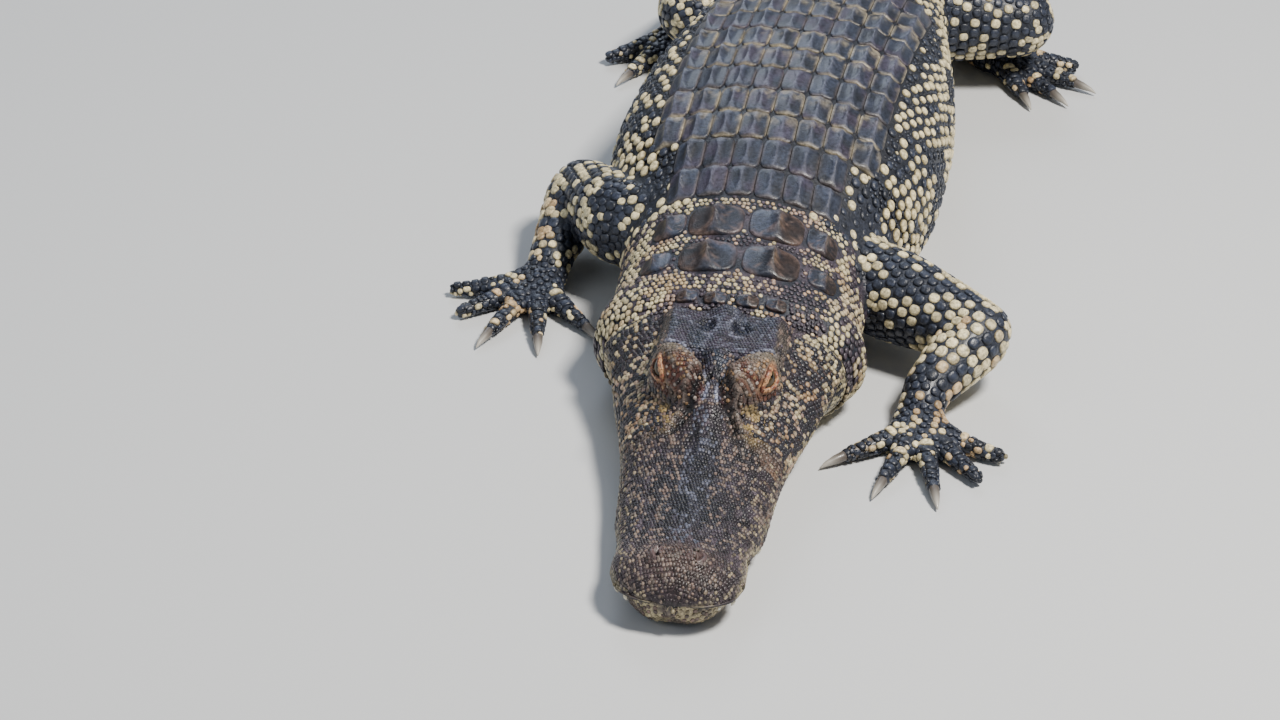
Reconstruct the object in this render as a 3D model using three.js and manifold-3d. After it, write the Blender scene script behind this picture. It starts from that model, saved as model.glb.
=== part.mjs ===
// American alligator, life size, lying on its belly with the mouth closed.
// Millimetres, +Z up, the snout points along -Y and the animal's left side is +X.
// A place on the body is given as s (distance from the snout tip along the spine),
// x (distance to the left of the spine) and z (height above the floor).
import * as THREE from "three";
import Module from "manifold-3d";

const wasm = await Module();
wasm.setup();

// Driving dimensions
const GAP = 0.3;
const LENGTH = 2700;
const SKULL = 366;
const HEAD_END = 386;
const NECK_END = 547;
const ROW = 40;
const CHEST_END = NECK_END + 8 * ROW;
const VENT = NECK_END + 18 * ROW;
const TAIL_TIP = LENGTH - 4;

// Heading of the spine, degrees towards the animal's left
const TURNS = [[0, 0], [450, 0], [620, 2], [820, 5], [1150, 5], [1400, 9], [1700, 14], [2000, 3], [2300, -15],
  [2700, -30]];

// Body: half width, height of the back, level of the widest line, squareness of the upper half
const HALF_WIDTH = [[386, 116], [416, 129], [470, 119], [545, 122], [640, 153], [735, 166], [830, 163],
  [930, 149], [1040, 126], [1150, 107], [1250, 95], [1400, 82], [1600, 65], [1850, 46], [2150, 28], [2450, 15],
  [2696, 3]];
const BACK = [[386, 112], [430, 124], [480, 134], [545, 148], [640, 174], [735, 190], [840, 197], [950, 195],
  [1060, 188], [1160, 178], [1250, 169], [1400, 154], [1600, 134], [1850, 112], [2150, 86], [2450, 54],
  [2696, 10]];
const WAIST = [[386, 46], [545, 56], [850, 78], [1160, 76], [1600, 62], [2150, 42], [2696, 5]];
const SQUARE = [[386, 2.1], [545, 2.1], [850, 2.35], [1160, 2.2], [1600, 2.0], [2696, 2.0]];
const BELLY_SQUARE = 2.5;
const BELLY_SAG = 5;

// Head: half width at the jaw edge, mouth line, height and squareness of the face
const JAW_HALF = [[0, 6], [4, 26], [14, 43], [30, 54], [50, 59], [76, 58], [105, 62], [135, 67], [165, 69],
  [205, 73], [240, 79], [270, 86], [305, 94], [345, 104], [386, 116]];
const MOUTH = [[0, 31], [30, 27], [66, 31], [84, 30], [125, 22], [150, 23], [195, 31], [245, 35], [300, 39],
  [335, 49], [366, 60], [386, 64]];
const FACE = [[0, 34], [6, 45], [18, 54], [40, 58], [75, 56], [115, 59], [150, 63], [185, 69], [215, 78],
  [240, 86], [262, 92], [300, 97], [340, 101], [386, 112]];
const FACE_SQUARE = [[0, 2.0], [40, 2.4], [130, 2.4], [190, 2.3], [250, 2.1], [300, 2.0], [386, 2.1]];
const LOWER_HALF = [[8, 6], [12, 21], [22, 36], [34, 45], [50, 50], [76, 49], [105, 53], [135, 58], [165, 60],
  [205, 64], [245, 70], [300, 83], [335, 93], [366, 105], [386, 114]];
const CHIN = [[8, 15], [14, 6], [28, 0]];

// The eye looks out along look, and its slit runs forward along slit; both are given as x, s and z
const EYE = { x: 40, s: 275, z: 105, radius: 16, look: [0.87, -0.27, 0.41], slit: [-10, -36, -16] };
const LIDS = { slit: [13.5, 4.6], rim: [15.6, 9.5], proud: 2.6 };
const EYE_DOME = { x: 34, s: 273, lean: 0.45, top: 128, wide: 24, long: 32 };
const TABLE = { front: 299, rear: SKULL, half: 51, high: 119 };

// A ridge before each eye, with a groove on its inner side
const BROW = { rear: [12, 272], front: [40, 208], high: 3.4, half: 4 };
const GROOVE = { inside: 8, deep: 3.6, half: 3.6 };
const NOSE = { s: 36, long: 19, half: 30, high: 5 };
const EAR = { from: 296, to: 344, x: 57, z: 106, high: 2.2, deep: 9 };
const NOSTRIL = { x: 18, s: 38, bump: 3, radius: 10, long: 7.5, wide: 2.6, deep: 6 };
const TEETH = { from: 16, pitch: 20, count: 13, radius: 3.2, root: 4 };
const TOOTH_LENGTH = [[12, 6], [50, 11], [72, 5], [105, 7], [130, 13], [165, 7], [210, 6], [300, 4]];

// Plates on the neck: [s, x, length, width, keel]
const NECK_PLATES = [[399, 15, 15, 22, 4], [401, 42, 14, 20, 4], [456, 30, 44, 56, 14], [458, 79, 28, 28, 8],
  [510, 29, 44, 54, 13], [511, 73, 32, 30, 9]];
const PLATE = { edge: 2.6, root: 8, width: 28, seam: 0.91, keel: 7 };
const SHIELD = [[547, 62], [640, 98], [760, 116], [900, 112], [1060, 86], [1150, 68], [1267, 60]];

// Tail: length of a ring of scales, height of the crest, and how far its two rows stand apart
const WHORL = [[1267, 39], [1700, 37], [2200, 32], [2650, 24]];
const CREST = [[1267, 13], [1420, 23], [1620, 31], [1900, 36], [2150, 36], [2400, 28], [2680, 9]];
const CREST_APART = [[1267, 50], [1500, 37], [1750, 18], [1880, 8]];
const CREST_JOINS = 1880;
const CREST_THICK = 9;

// Limbs: joints as [s, x, z], radii at the joints, and the way the foot points
const LIMBS = {
  front_left: {
    side: 1, front: true, aim: 8,
    joints: [[575, 70, 66], [552, 128, 62], [492, 232, 58], [424, 190, 30], [398, 184, 17]],
  },
  front_right: {
    side: -1, front: true, aim: 16,
    joints: [[590, -76, 80], [600, -128, 76], [688, -190, 58], [616, -202, 30], [588, -205, 17]],
  },
  hind_left: {
    side: 1, front: false, aim: 50,
    joints: [[1182, 44, 80], [1174, 92, 84], [1184, 184, 80], [1264, 126, 34], [1243, 131, 19]],
  },
  hind_right: {
    side: -1, front: false, aim: 20,
    joints: [[1168, -44, 80], [1152, -94, 84], [1094, -164, 80], [1206, -184, 34], [1184, -187, 19]],
  },
};
const FRONT_RADII = [50, 44, 31, 23, 20];
const HIND_RADII = [56, 55, 39, 26, 22];
const FRONT_FOOT = {
  palm: 46, palmHalf: 27, toes: [[-58, 60], [-24, 74], [4, 78], [32, 70], [64, 56]],
  toeRadius: 9.5, claws: 3, web: 0,
};
const HIND_FOOT = {
  palm: 58, palmHalf: 28, toes: [[-32, 62], [-12, 72], [10, 73], [35, 62]],
  toeRadius: 10.5, claws: 3, web: 0.72,
};
const CLAW = { length: 25, radius: 5.2 };

const COLOURS = { skin: 0x2c2b2c, head: 0x332c31, eye: 0x8a7440, claw: 0x8f8a7c };

// A smooth curve through a table of [place, value] pairs that never overshoots them
function through(table) {
  const n = table.length;
  const slope = (i) => (table[i + 1][1] - table[i][1]) / (table[i + 1][0] - table[i][0]);
  const lean = table.map((_, i) => {
    if (i === 0) return slope(0);
    if (i === n - 1) return slope(n - 2);
    const a = slope(i - 1);
    const b = slope(i);
    return a * b <= 0 ? 0 : (2 * a * b) / (a + b);
  });
  return (s) => {
    if (s <= table[0][0]) return table[0][1];
    if (s >= table[n - 1][0]) return table[n - 1][1];
    let i = 0;
    while (s > table[i + 1][0]) i++;
    const step = table[i + 1][0] - table[i][0];
    const t = (s - table[i][0]) / step;
    const a = table[i][1];
    const b = table[i + 1][1];
    const bend = t * (1 - t) * ((1 - t) * (lean[i] * step - (b - a)) - t * (lean[i + 1] * step - (b - a)));
    return a + (b - a) * t + bend;
  };
}

// The same with straight stretches between the pairs
function straightThrough(table) {
  return (s) => {
    const i = Math.max(table.findIndex(([at]) => at > s), 0) || table.length - 1;
    const [[a, low], [b, high]] = [table[i - 1], table[i]];
    return low + ((high - low) * THREE.MathUtils.clamp(s - a, 0, b - a)) / (b - a);
  };
}

const turn = through(TURNS);
const halfWidth = through(HALF_WIDTH);
const back = through(BACK);
const waist = through(WAIST);
const square = through(SQUARE);
const jawHalf = through(JAW_HALF);
const mouth = straightThrough(MOUTH);
const face = through(FACE);
const faceSquare = through(FACE_SQUARE);
const lowerHalf = through(LOWER_HALF);
const chin = through(CHIN);
const toothLength = through(TOOTH_LENGTH);
const shield = through(SHIELD);
const whorl = through(WHORL);
const crest = through(CREST);
const crestApart = through(CREST_APART);

// The spine in plan, stepped once from the headings
const STEP = 2;
const SPINE = [[0, 0]];
for (let s = 0; s < LENGTH; s += STEP) {
  const angle = THREE.MathUtils.degToRad(turn(s + STEP / 2));
  const [x, y] = SPINE.at(-1);
  SPINE.push([x + STEP * Math.sin(angle), y + STEP * Math.cos(angle)]);
}

function place(s, x, z) {
  const at = THREE.MathUtils.clamp(s / STEP, 0, SPINE.length - 1.001);
  const i = Math.floor(at);
  const f = at - i;
  const angle = THREE.MathUtils.degToRad(turn(s));
  const cx = SPINE[i][0] * (1 - f) + SPINE[i + 1][0] * f;
  const cy = SPINE[i][1] * (1 - f) + SPINE[i + 1][1] * f + Math.min(s, 0);
  return new THREE.Vector3(cx + x * Math.cos(angle), cy - x * Math.sin(angle), z);
}

const smooth = (a, b, t) => THREE.MathUtils.smoothstep(t, a, b);

function softMax(a, b, k) {
  const h = Math.max(k - Math.abs(a - b), 0) / k;
  return Math.max(a, b) + (h * h * k) / 4;
}

const arch = (t, power) => Math.pow(Math.max(1 - Math.pow(Math.min(Math.abs(t), 1), power), 0), 1 / power);

// Height of the back over a place beside the spine
function backHeight(s, x) {
  return waist(s) + (back(s) - waist(s)) * arch(x / halfWidth(s), square(s));
}

// A point on the body: u runs from the top of the back (0) down the left side round to the top again (1)
function bodyPoint(s, u, grow = 0) {
  const angle = 2 * Math.PI * u;
  const across = Math.sin(angle);
  const up = Math.cos(angle);
  const power = 2 / (up > 0 ? square(s) : BELLY_SQUARE);
  const x = (halfWidth(s) + grow) * Math.sign(across) * Math.pow(Math.abs(across), power);
  const rise = Math.pow(Math.abs(up), power);
  const z = up > 0 ? waist(s) + (back(s) + grow - waist(s)) * rise : waist(s) - (waist(s) + BELLY_SAG) * rise;
  return place(s, x, Math.max(z, 0));
}

// Height of the top of the head: the face, the skull table, the eye domes and the nostril bumps
function headHeight(x, s) {
  const side = Math.abs(x);
  const base = mouth(s) + (face(s) - mouth(s)) * arch(x / jawHalf(s), faceSquare(s));
  const bar = face(s) + 13 * smooth(215, 262, s) + 9 * smooth(270, 300, s) - 0.05 * side * side;
  let z = softMax(base, bar, 8);
  const bow = (side / TABLE.half) ** 2;
  const tableFront = TABLE.front + 7 * bow;
  const tableRear = TABLE.rear - 2 + 12 * bow;
  const onTable = smooth(tableFront - 7, tableFront + 2, s) * (1 - smooth(tableRear - 3, tableRear + 6, s));
  const slab = TABLE.high - 120 * (1 - onTable) - Math.hypot(3.4 * Math.max(side - TABLE.half, 0), 6) + 6;
  const horn = 3.5 * smooth(30, TABLE.half, side) * smooth(TABLE.front + 20, TABLE.rear, s);
  const dish = 2 * Math.exp(-((side / 24) ** 2));
  z = softMax(z, slab + horn - dish, 6);
  const away = s - EYE_DOME.s;
  const d = ((side - EYE_DOME.x - EYE_DOME.lean * away) / EYE_DOME.wide) ** 2 + (away / EYE_DOME.long) ** 2;
  const top = EYE_DOME.top - 4 * d;
  z += Math.max(top - z, 0) * Math.max(1 - d * d, 0) ** 0.8;
  const [rear, front] = [BROW.rear, BROW.front];
  const t = (s - rear[1]) / (front[1] - rear[1]);
  const off = side - rear[0] - (front[0] - rear[0]) * t;
  z += BROW.high * Math.exp(-((off / BROW.half) ** 2)) * smooth(-0.12, 0.12, t) * (1 - smooth(0.75, 1.1, t));
  const inner = (off + GROOVE.inside) / GROOVE.half;
  z -= GROOVE.deep * Math.exp(-inner * inner) * smooth(-0.3, 0.1, t) * (1 - smooth(0.7, 1.0, t));
  z += NOSE.high * Math.exp(-((side / NOSE.half) ** 4) - ((s - NOSE.s) / NOSE.long) ** 4);
  const n = Math.hypot(side - NOSTRIL.x, s - NOSTRIL.s) / NOSTRIL.radius;
  z += NOSTRIL.bump * Math.exp(-n * n);
  const behind = smooth(TABLE.rear + 2, HEAD_END, s);
  return z * (1 - behind) + backHeight(Math.max(s, HEAD_END), x) * behind;
}

// Solids
function solidFrom(points, triangles) {
  let volume = 0;
  for (const [a, b, c] of triangles) volume += points[a].dot(points[b].clone().cross(points[c]));
  const wound = volume < 0 ? triangles.map(([a, b, c]) => [a, c, b]) : triangles;
  return new wasm.Manifold(new wasm.Mesh({
    numProp: 3,
    vertProperties: new Float32Array(points.flatMap((p) => [p.x, p.y, p.z])),
    triVerts: new Uint32Array(wound.flat()),
  }));
}

// A closed solid through rings of points, its two ends closed flat
function loft(rings) {
  const count = rings[0].length;
  const points = rings.flat();
  const triangles = [];
  for (let r = 0; r + 1 < rings.length; r++) {
    for (let k = 0; k < count; k++) {
      const a = r * count + k;
      const b = r * count + ((k + 1) % count);
      triangles.push([a, b, a + count], [b, b + count, a + count]);
    }
  }
  for (const end of [0, rings.length - 1]) {
    const middle = points.length;
    const ring = rings[end];
    const centre = ring.reduce((sum, p) => sum.add(p), new THREE.Vector3()).divideScalar(count);
    points.push(centre);
    for (let k = 0; k < count; k++) {
      const a = end * count + k;
      const b = end * count + ((k + 1) % count);
      triangles.push(end ? [a, b, middle] : [b, a, middle]);
    }
  }
  return solidFrom(points, triangles);
}

function largest(solid) {
  const pieces = solid.decompose();
  return pieces.reduce((best, piece) => (piece.volume() > best.volume() ? piece : best));
}

function spread(from, to, count) {
  return Array.from({ length: count + 1 }, (_, i) => from + ((to - from) * i) / count);
}

// Rings round the body, from one cut to the next; both ends stand back half a gap from the cut
function bodyRings(stations, columns, grow = 0, standBack = GAP / 2) {
  const last = stations.length - 1;
  return loft(stations.map((s, i) => {
    const at = i === 0 ? s + standBack : i === last ? s - standBack : s;
    return columns(at).map((u) => bodyPoint(at, u, grow));
  }));
}

const evenly = (sides) => () => spread(0, 1, sides).slice(0, sides);

// Places round the trunk whose upper ones follow the seams between the columns of plates
function alongSeams(s) {
  const half = halfWidth(s);
  const seams = [1, 2, 3, 4].map((k) => {
    const x = Math.min(k * PLATE.width, half * (0.42 + 0.12 * k));
    return Math.asin((x / half) ** (square(s) / 2)) / (2 * Math.PI);
  });
  const left = [...seams, ...spread(seams.at(-1), 0.5, 5).slice(1)];
  return [0, ...left, ...left.slice(0, -1).reverse().map((u) => 1 - u)];
}

// Seeded draws, so that every run gives the same plates
let seed = 20;
function draw(low, high) {
  seed = (seed * 1664525 + 1013904223) % 4294967296;
  return low + ((high - low) * seed) / 4294967296;
}

function backPoint(s, x) {
  return place(s, x, backHeight(s, x));
}

// The way out of the back at a place, leaning towards straight up by the given share
function backNormal(s, x, upright) {
  const p = backPoint(s, x);
  const along = backPoint(s + 2, x).sub(p);
  const normal = backPoint(s, x + 2).sub(p).cross(along).normalize();
  return normal.lerp(new THREE.Vector3(0, 0, 1), upright).normalize();
}

// A plate: four corners sunk in the back, a low rim, and a keel that rises to the rear or, on a blade, one peak
function plate(s, x, long, wide, edge, keel, upright = 0) {
  const out = backNormal(s, x, upright);
  const at = (along, across, rise) => backPoint(s + long * along, x + wide * across).addScaledVector(out, rise);
  const corners = [[-0.5, -0.5], [-0.5, 0.5], [0.5, 0.5], [0.5, -0.5]];
  const points = [
    ...corners.map(([a, b]) => at(a, b, -PLATE.root)),
    ...corners.map(([a, b]) => at(a * 0.96, b * 0.94, edge)),
    at(upright ? 0.22 : 0.34, 0, edge + keel),
    ...(upright ? [] : [at(-0.36, 0, edge + keel * 0.35)]),
  ];
  const walls = [0, 1, 2, 3].flatMap((k) => {
    const next = (k + 1) % 4;
    return [[k, next, next + 4], [k, next + 4, k + 4]];
  });
  const ridged = [[4, 5, 9], [5, 6, 8], [5, 8, 9], [6, 7, 8], [7, 4, 9], [7, 9, 8]];
  const peaked = [[4, 5, 8], [5, 6, 8], [6, 7, 8], [7, 4, 8]];
  const top = upright ? peaked : ridged;
  return solidFrom(points, [[0, 2, 1], [0, 3, 2], ...walls, ...top]);
}

function withPlates(solid, plates) {
  return largest(plates.reduce((sum, one) => sum.add(one), solid));
}

// A length of the back between two cuts, covered in rows of plates that narrow towards the neck and the hips
function shieldPlates(from, to) {
  const plates = [];
  for (let s = from + ROW / 2; s < to; s += ROW) {
    const count = Math.round(shield(s) / PLATE.width);
    const wide = PLATE.width;
    for (let k = 0; k < count; k++) {
      for (const side of [-1, 1]) {
        const long = ROW * PLATE.seam * draw(0.94, 1);
        const keel = PLATE.keel * (0.7 + (0.7 * k) / count) * draw(0.85, 1.15);
        plates.push(plate(s, side * wide * (k + 0.5), long, wide * PLATE.seam, PLATE.edge, keel));
      }
    }
  }
  return plates;
}

function neckPlates() {
  return NECK_PLATES.flatMap(([s, x, long, wide, keel]) => [-1, 1].map(
    (side) => plate(s, side * x, long, wide, PLATE.edge + 0.8, keel * draw(0.9, 1.1)),
  ));
}

// Ends of the rings of scales round the tail, from the vent to the tip
const WHORLS = [VENT];
while (WHORLS.at(-1) + whorl(WHORLS.at(-1)) < TAIL_TIP - 12) WHORLS.push(WHORLS.at(-1) + whorl(WHORLS.at(-1)));

// The crest: two rows of blades that draw together and go on as one, with low plates between them at first
function crestPlates(from, to) {
  const plates = [];
  for (let k = 0; k + 1 < WHORLS.length; k++) {
    if (WHORLS[k] < from - 1 || WHORLS[k + 1] > to + 1) continue;
    const s = (WHORLS[k] + WHORLS[k + 1]) / 2;
    const long = (WHORLS[k + 1] - WHORLS[k]) * PLATE.seam;
    const high = crest(s) * draw(0.94, 1.06);
    const apart = crestApart(s);
    if (s > CREST_JOINS) {
      plates.push(plate(s, 0, long, Math.min(CREST_THICK, halfWidth(s) * 0.9), 1, high, 1));
      continue;
    }
    for (const side of [-1, 1]) {
      plates.push(plate(s, side * apart, long, CREST_THICK, 1, high, 0.6));
      const between = apart - CREST_THICK - 4;
      if (apart > 28) plates.push(plate(s, side * (apart / 2 - 2), long, between, PLATE.edge, 4));
    }
  }
  return plates;
}

const LIMB_SIDES = 8;
const TOE_SIDES = 5;
const STATIONS = {
  neck: spread(HEAD_END, NECK_END, 7),
  torso_front: spread(NECK_END, CHEST_END, 8),
  torso_rear: spread(CHEST_END, VENT, 10),
  tail_base: WHORLS.slice(0, 9),
  tail_middle: WHORLS.slice(8, 18),
  tail_rear: WHORLS.slice(17, 29),
  tail_tip: [...WHORLS.slice(28), TAIL_TIP],
};
const ROUND = {
  neck: evenly(20), torso_front: alongSeams, torso_rear: alongSeams, tail_base: evenly(16),
  tail_middle: evenly(14), tail_rear: evenly(12), tail_tip: evenly(8),
};

// Head columns stay at fixed places over the skull table and scale with the snout in front of it
const COLUMNS = [0, 6, 12, 19, 27, 36, 45, 51, 55, 0.25, 0.6, 0.88, 1];
const FIXED_COLUMNS = 8;
function columnAt(k, s) {
  const half = jawHalf(s);
  const shrink = Math.min(1, half / (COLUMNS[FIXED_COLUMNS] + 14));
  if (k <= FIXED_COLUMNS) return COLUMNS[k] * shrink;
  const from = COLUMNS[FIXED_COLUMNS] * shrink;
  return from + (half - from) * COLUMNS[k];
}

const HEAD_STATIONS = [0.6, 3, 8, 15, 22, 30, 38, 46, 56, 66, 84, 104, 125, 150, 172, 195, 215, 229, 237, 245,
  253, 262, 271, 281, 291, 298, 306, 320, 335, 352, 366, 374, HEAD_END - GAP / 2];
const JAW_STATIONS = [8.6, 12, 20, 30, 46, 66, 84, 104, 125, 150, 195, 245, 300, 335, 366, HEAD_END - GAP / 2];

function headSolid() {
  const last = COLUMNS.length - 1;
  return loft(HEAD_STATIONS.map((s) => {
    const ring = [];
    for (let k = -last; k <= last; k++) {
      const x = Math.sign(k) * columnAt(Math.abs(k), s);
      const z = Math.abs(k) === last ? mouth(s) + 2 : headHeight(x, s);
      ring.push(place(s, x, z));
    }
    const under = jawHalf(s) - 3;
    ring.push(place(s, under, mouth(s)));
    ring.push(place(s, 0, mouth(s)));
    ring.push(place(s, -under, mouth(s)));
    return ring;
  }));
}

function lowerJawSolid() {
  const SIDES = 5;
  return loft(JAW_STATIONS.map((s) => {
    const half = lowerHalf(s);
    const top = mouth(s) - GAP;
    const ring = [];
    for (let k = -SIDES; k <= SIDES; k++) {
      const angle = (Math.PI / 2) * (k / SIDES);
      const x = half * Math.sign(k) * Math.pow(Math.abs(Math.sin(angle)), 0.8);
      const z = top * (1 - Math.pow(Math.cos(angle), 0.8) * 1.06);
      ring.push(place(s, x, Math.max(z, chin(s))));
    }
    ring.push(place(s, 0, top));
    return ring;
  }));
}

// A tube along points with an elliptic section
function tube(path, radii, sides, flat = 1) {
  const up = new THREE.Vector3(0, 0, 1);
  return loft(path.map((p, i) => {
    const along = path[Math.min(i + 1, path.length - 1)].clone().sub(path[Math.max(i - 1, 0)]).normalize();
    const across = along.clone().cross(up).normalize();
    const over = across.clone().cross(along);
    return spread(0, 1, sides).slice(0, sides).map((u) => {
      const angle = 2 * Math.PI * u;
      const q = p.clone().addScaledVector(across, radii[i] * Math.cos(angle));
      return q.addScaledVector(over, radii[i] * flat * Math.sin(angle));
    });
  }));
}

// What lies before or behind a plane through a joint, half a gap off it
function beforeJoint(solid, joint) {
  return largest(solid.trimByPlane(joint.way.clone().negate().toArray(), -joint.way.dot(joint.at) + GAP / 2));
}

function behindJoint(solid, joint) {
  return largest(solid.trimByPlane(joint.way.toArray(), joint.way.dot(joint.at) + GAP / 2));
}

// The joints of a limb as points, with the planes that part it at the elbow or knee and at the wrist or ankle
function limbFrame(limb) {
  const points = limb.joints.map(([s, x, z]) => place(s, x, z));
  const leg = (i) => points[i + 1].clone().sub(points[i]).normalize();
  const planeAt = (i) => ({ at: points[i], way: leg(i - 1).add(leg(i)).normalize() });
  return { points, middle: planeAt(2), end: planeAt(3) };
}

// A muscle-like stretch between joints: the radius eases from one to the next, with a swell near the first
function limbStretch(points, radii, swell, steps, sides) {
  const path = [];
  const sizes = [];
  for (let i = 0; i + 1 < points.length; i++) {
    for (let k = i ? 1 : 0; k <= steps; k++) {
      const t = k / steps;
      path.push(points[i].clone().lerp(points[i + 1], t));
      sizes.push(radii[i] + (radii[i + 1] - radii[i]) * t + swell * Math.sin(Math.PI * Math.sqrt(t)));
    }
  }
  return tube(path, sizes, sides);
}

function toeDirection(limb, degrees) {
  const s = limb.joints.at(-1)[0];
  const angle = THREE.MathUtils.degToRad(limb.side * (limb.aim + degrees) + turn(s));
  return new THREE.Vector3(Math.sin(angle), -Math.cos(angle), 0);
}

function toePath(limb, foot, toe) {
  const [degrees, length] = foot.toes[toe];
  const ankle = place(...limb.joints.at(-1));
  ankle.z = 0;
  const knuckle = ankle.clone().addScaledVector(toeDirection(limb, degrees * 0.55), foot.palm);
  const way = toeDirection(limb, degrees);
  const start = ankle.clone().lerp(knuckle, 0.45);
  const path = [start, ...[0, 0.5, 1].map((f) => knuckle.clone().addScaledVector(way, length * f))];
  path.forEach((p, i) => { p.z = foot.toeRadius * [1.5, 1.35, 1.05, 0.84][i]; });
  return path;
}

function footSolid(limb, foot, radii) {
  const { points, end } = limbFrame(limb);
  let solid = ball(points[3], radii[3], LIMB_SIDES, 5).add(tube(points.slice(3), radii.slice(3), LIMB_SIDES));
  const knuckles = foot.toes.map((_, toe) => toePath(limb, foot, toe)[1]);
  const ankle = place(...limb.joints.at(-1));
  const middle = knuckles.reduce((sum, p) => sum.add(p), new THREE.Vector3()).divideScalar(knuckles.length);
  const half = foot.palmHalf;
  const heel = ankle.clone().lerp(middle, -0.25);
  const palm = [heel, ankle, ankle.clone().lerp(middle, 0.5), middle];
  palm.forEach((p, i) => { p.z = [13, 15, 13, 9][i]; });
  solid = solid.add(tube(palm, [half * 0.55, half * 0.85, half, half * 0.8], 8, 0.62));
  foot.toes.forEach((_, toe) => {
    const radius = foot.toeRadius;
    const path = toePath(limb, foot, toe);
    solid = solid.add(tube(path, [1.25, 1.2, 0.95, 0.66].map((f) => f * radius), TOE_SIDES));
  });
  for (let toe = 0; foot.web && toe + 1 < foot.toes.length; toe++) solid = solid.add(webSolid(limb, foot, toe));
  return largest(behindJoint(solid, end).trimByPlane([0, 0, 1], 0));
}

// Skin between two neighbouring toes
function webSolid(limb, foot, toe) {
  const a = toePath(limb, foot, toe);
  const b = toePath(limb, foot, toe + 1);
  const reach = foot.web;
  const tip = (path) => path[1].clone().lerp(path[3], reach);
  const notch = tip(a).add(tip(b)).multiplyScalar(0.5).lerp(a[1].clone().add(b[1]).multiplyScalar(0.5), 0.35);
  const outline = [a[0], tip(a), notch, tip(b), b[0]];
  const ring = (z) => outline.map((p) => new THREE.Vector3(p.x, p.y, z));
  return loft([ring(-2), ring(4.5)]);
}

function clawSolid(limb, foot, toe) {
  const path = toePath(limb, foot, toe);
  const way = path[3].clone().sub(path[2]).normalize();
  const start = path[3].clone().addScaledVector(way, GAP);
  const shape = [[0, 0, 1], [0.36, 0, 0.86], [0.72, -0.04, 0.52], [1, -0.16, 0.1]];
  const points = shape.map(([f, drop]) => {
    const p = start.clone().addScaledVector(way, CLAW.length * f);
    p.z = Math.max(p.z + CLAW.length * drop, 1.2);
    return p;
  });
  return tube(points, shape.map(([, , r]) => CLAW.radius * r), TOE_SIDES);
}

// Eyes: a ball in a socket, seen through a slit between two lids
function eyeCentre(side) {
  return place(EYE.s, side * EYE.x, EYE.z);
}

function ball(centre, radius, around = 12, up = 8) {
  const rings = spread(0, 1, up).slice(1, up).map((t) => {
    const angle = Math.PI * t;
    return spread(0, 1, around).slice(0, around).map((u) => new THREE.Vector3(
      Math.sin(angle) * Math.cos(2 * Math.PI * u), Math.sin(angle) * Math.sin(2 * Math.PI * u), Math.cos(angle),
    ).multiplyScalar(radius).add(centre));
  });
  return loft(rings);
}

// Axes at an eye: outwards through the pupil, across the lids, and along the slit
function eyeAxes(side) {
  const towards = ([x, s, z]) => place(EYE.s + s, side * (EYE.x + x), EYE.z + z).sub(eyeCentre(side));
  const out = towards(EYE.look).normalize();
  const slit = towards(EYE.slit);
  const along = slit.addScaledVector(out, -slit.dot(out)).normalize();
  return { out, over: along.clone().cross(out), along };
}

// An almond-shaped prism or ring stack that points out of the eye: [distance, half length, half height] a ring
function almond(side, rings, points = 10) {
  const centre = eyeCentre(side);
  const { out, over, along } = eyeAxes(side);
  return loft(rings.map(([distance, long, high]) => spread(0, 1, points).slice(0, points).map((u) => {
    const angle = 2 * Math.PI * u;
    const rise = Math.sign(Math.sin(angle)) * Math.abs(Math.sin(angle)) ** 1.3;
    return centre.clone().addScaledVector(out, distance)
      .addScaledVector(along, long * Math.cos(angle)).addScaledVector(over, high * rise);
  })));
}

// A curved slit on top of each nostril bump
function nostrilSlit(side) {
  const top = headHeight(NOSTRIL.x, NOSTRIL.s) + 3;
  const ring = (z) => spread(0, 1, 8).slice(0, 8).map((u) => {
    const angle = 2 * Math.PI * u;
    const along = NOSTRIL.long * Math.cos(angle);
    const across = NOSTRIL.wide * Math.sin(angle) + 0.07 * along * along;
    return place(NOSTRIL.s + along, side * (NOSTRIL.x + 2 - across), z);
  });
  return loft([ring(top - NOSTRIL.deep - 3), ring(top)]);
}

// The slit of the ear under the edge of the skull table
function earSlit(side) {
  return loft(spread(EAR.from, EAR.to, 4).map((s, i) => {
    const high = EAR.high * [0.3, 1, 1, 0.8, 0.2][i];
    return [[-EAR.deep, 0], [0, high], [EAR.deep, high * 1.6], [EAR.deep, -high * 1.6], [0, -high]].map(
      ([x, z]) => place(s, side * (EAR.x + x), EAR.z + z),
    );
  }));
}

// Upper teeth, which stand outside the lower jaw when the mouth is shut
function toothRow(side) {
  return spread(0, TEETH.count - 1, TEETH.count - 1).map((k) => {
    const s = TEETH.from + TEETH.pitch * k;
    const long = toothLength(s) * draw(0.85, 1.1);
    const radius = TEETH.radius * (0.6 + long / 30);
    const from = place(s, side * (jawHalf(s) - 5.2), mouth(s) + TEETH.root);
    const to = place(s + 1, side * (jawHalf(s) - 3.8), mouth(s) - long);
    return tube([from, to], [radius, 0.4], 4);
  });
}

// Assembly
const alligator = new THREE.Group();

function addNode(name, solid, colour) {
  const { vertProperties, triVerts, numProp } = solid.getMesh();
  const positions = new Float32Array((vertProperties.length / numProp) * 3);
  for (let i = 0; i < positions.length / 3; i++) {
    positions.set(vertProperties.subarray(i * numProp, i * numProp + 3), i * 3);
  }
  const geometry = new THREE.BufferGeometry();
  geometry.setAttribute("position", new THREE.BufferAttribute(positions, 3));
  geometry.setIndex(new THREE.BufferAttribute(triVerts, 1));
  geometry.computeVertexNormals();
  const material = new THREE.MeshStandardMaterial({ color: colour, roughness: 0.5, metalness: 0 });
  const mesh = new THREE.Mesh(geometry, material);
  mesh.name = name;
  alligator.add(mesh);
}

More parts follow.
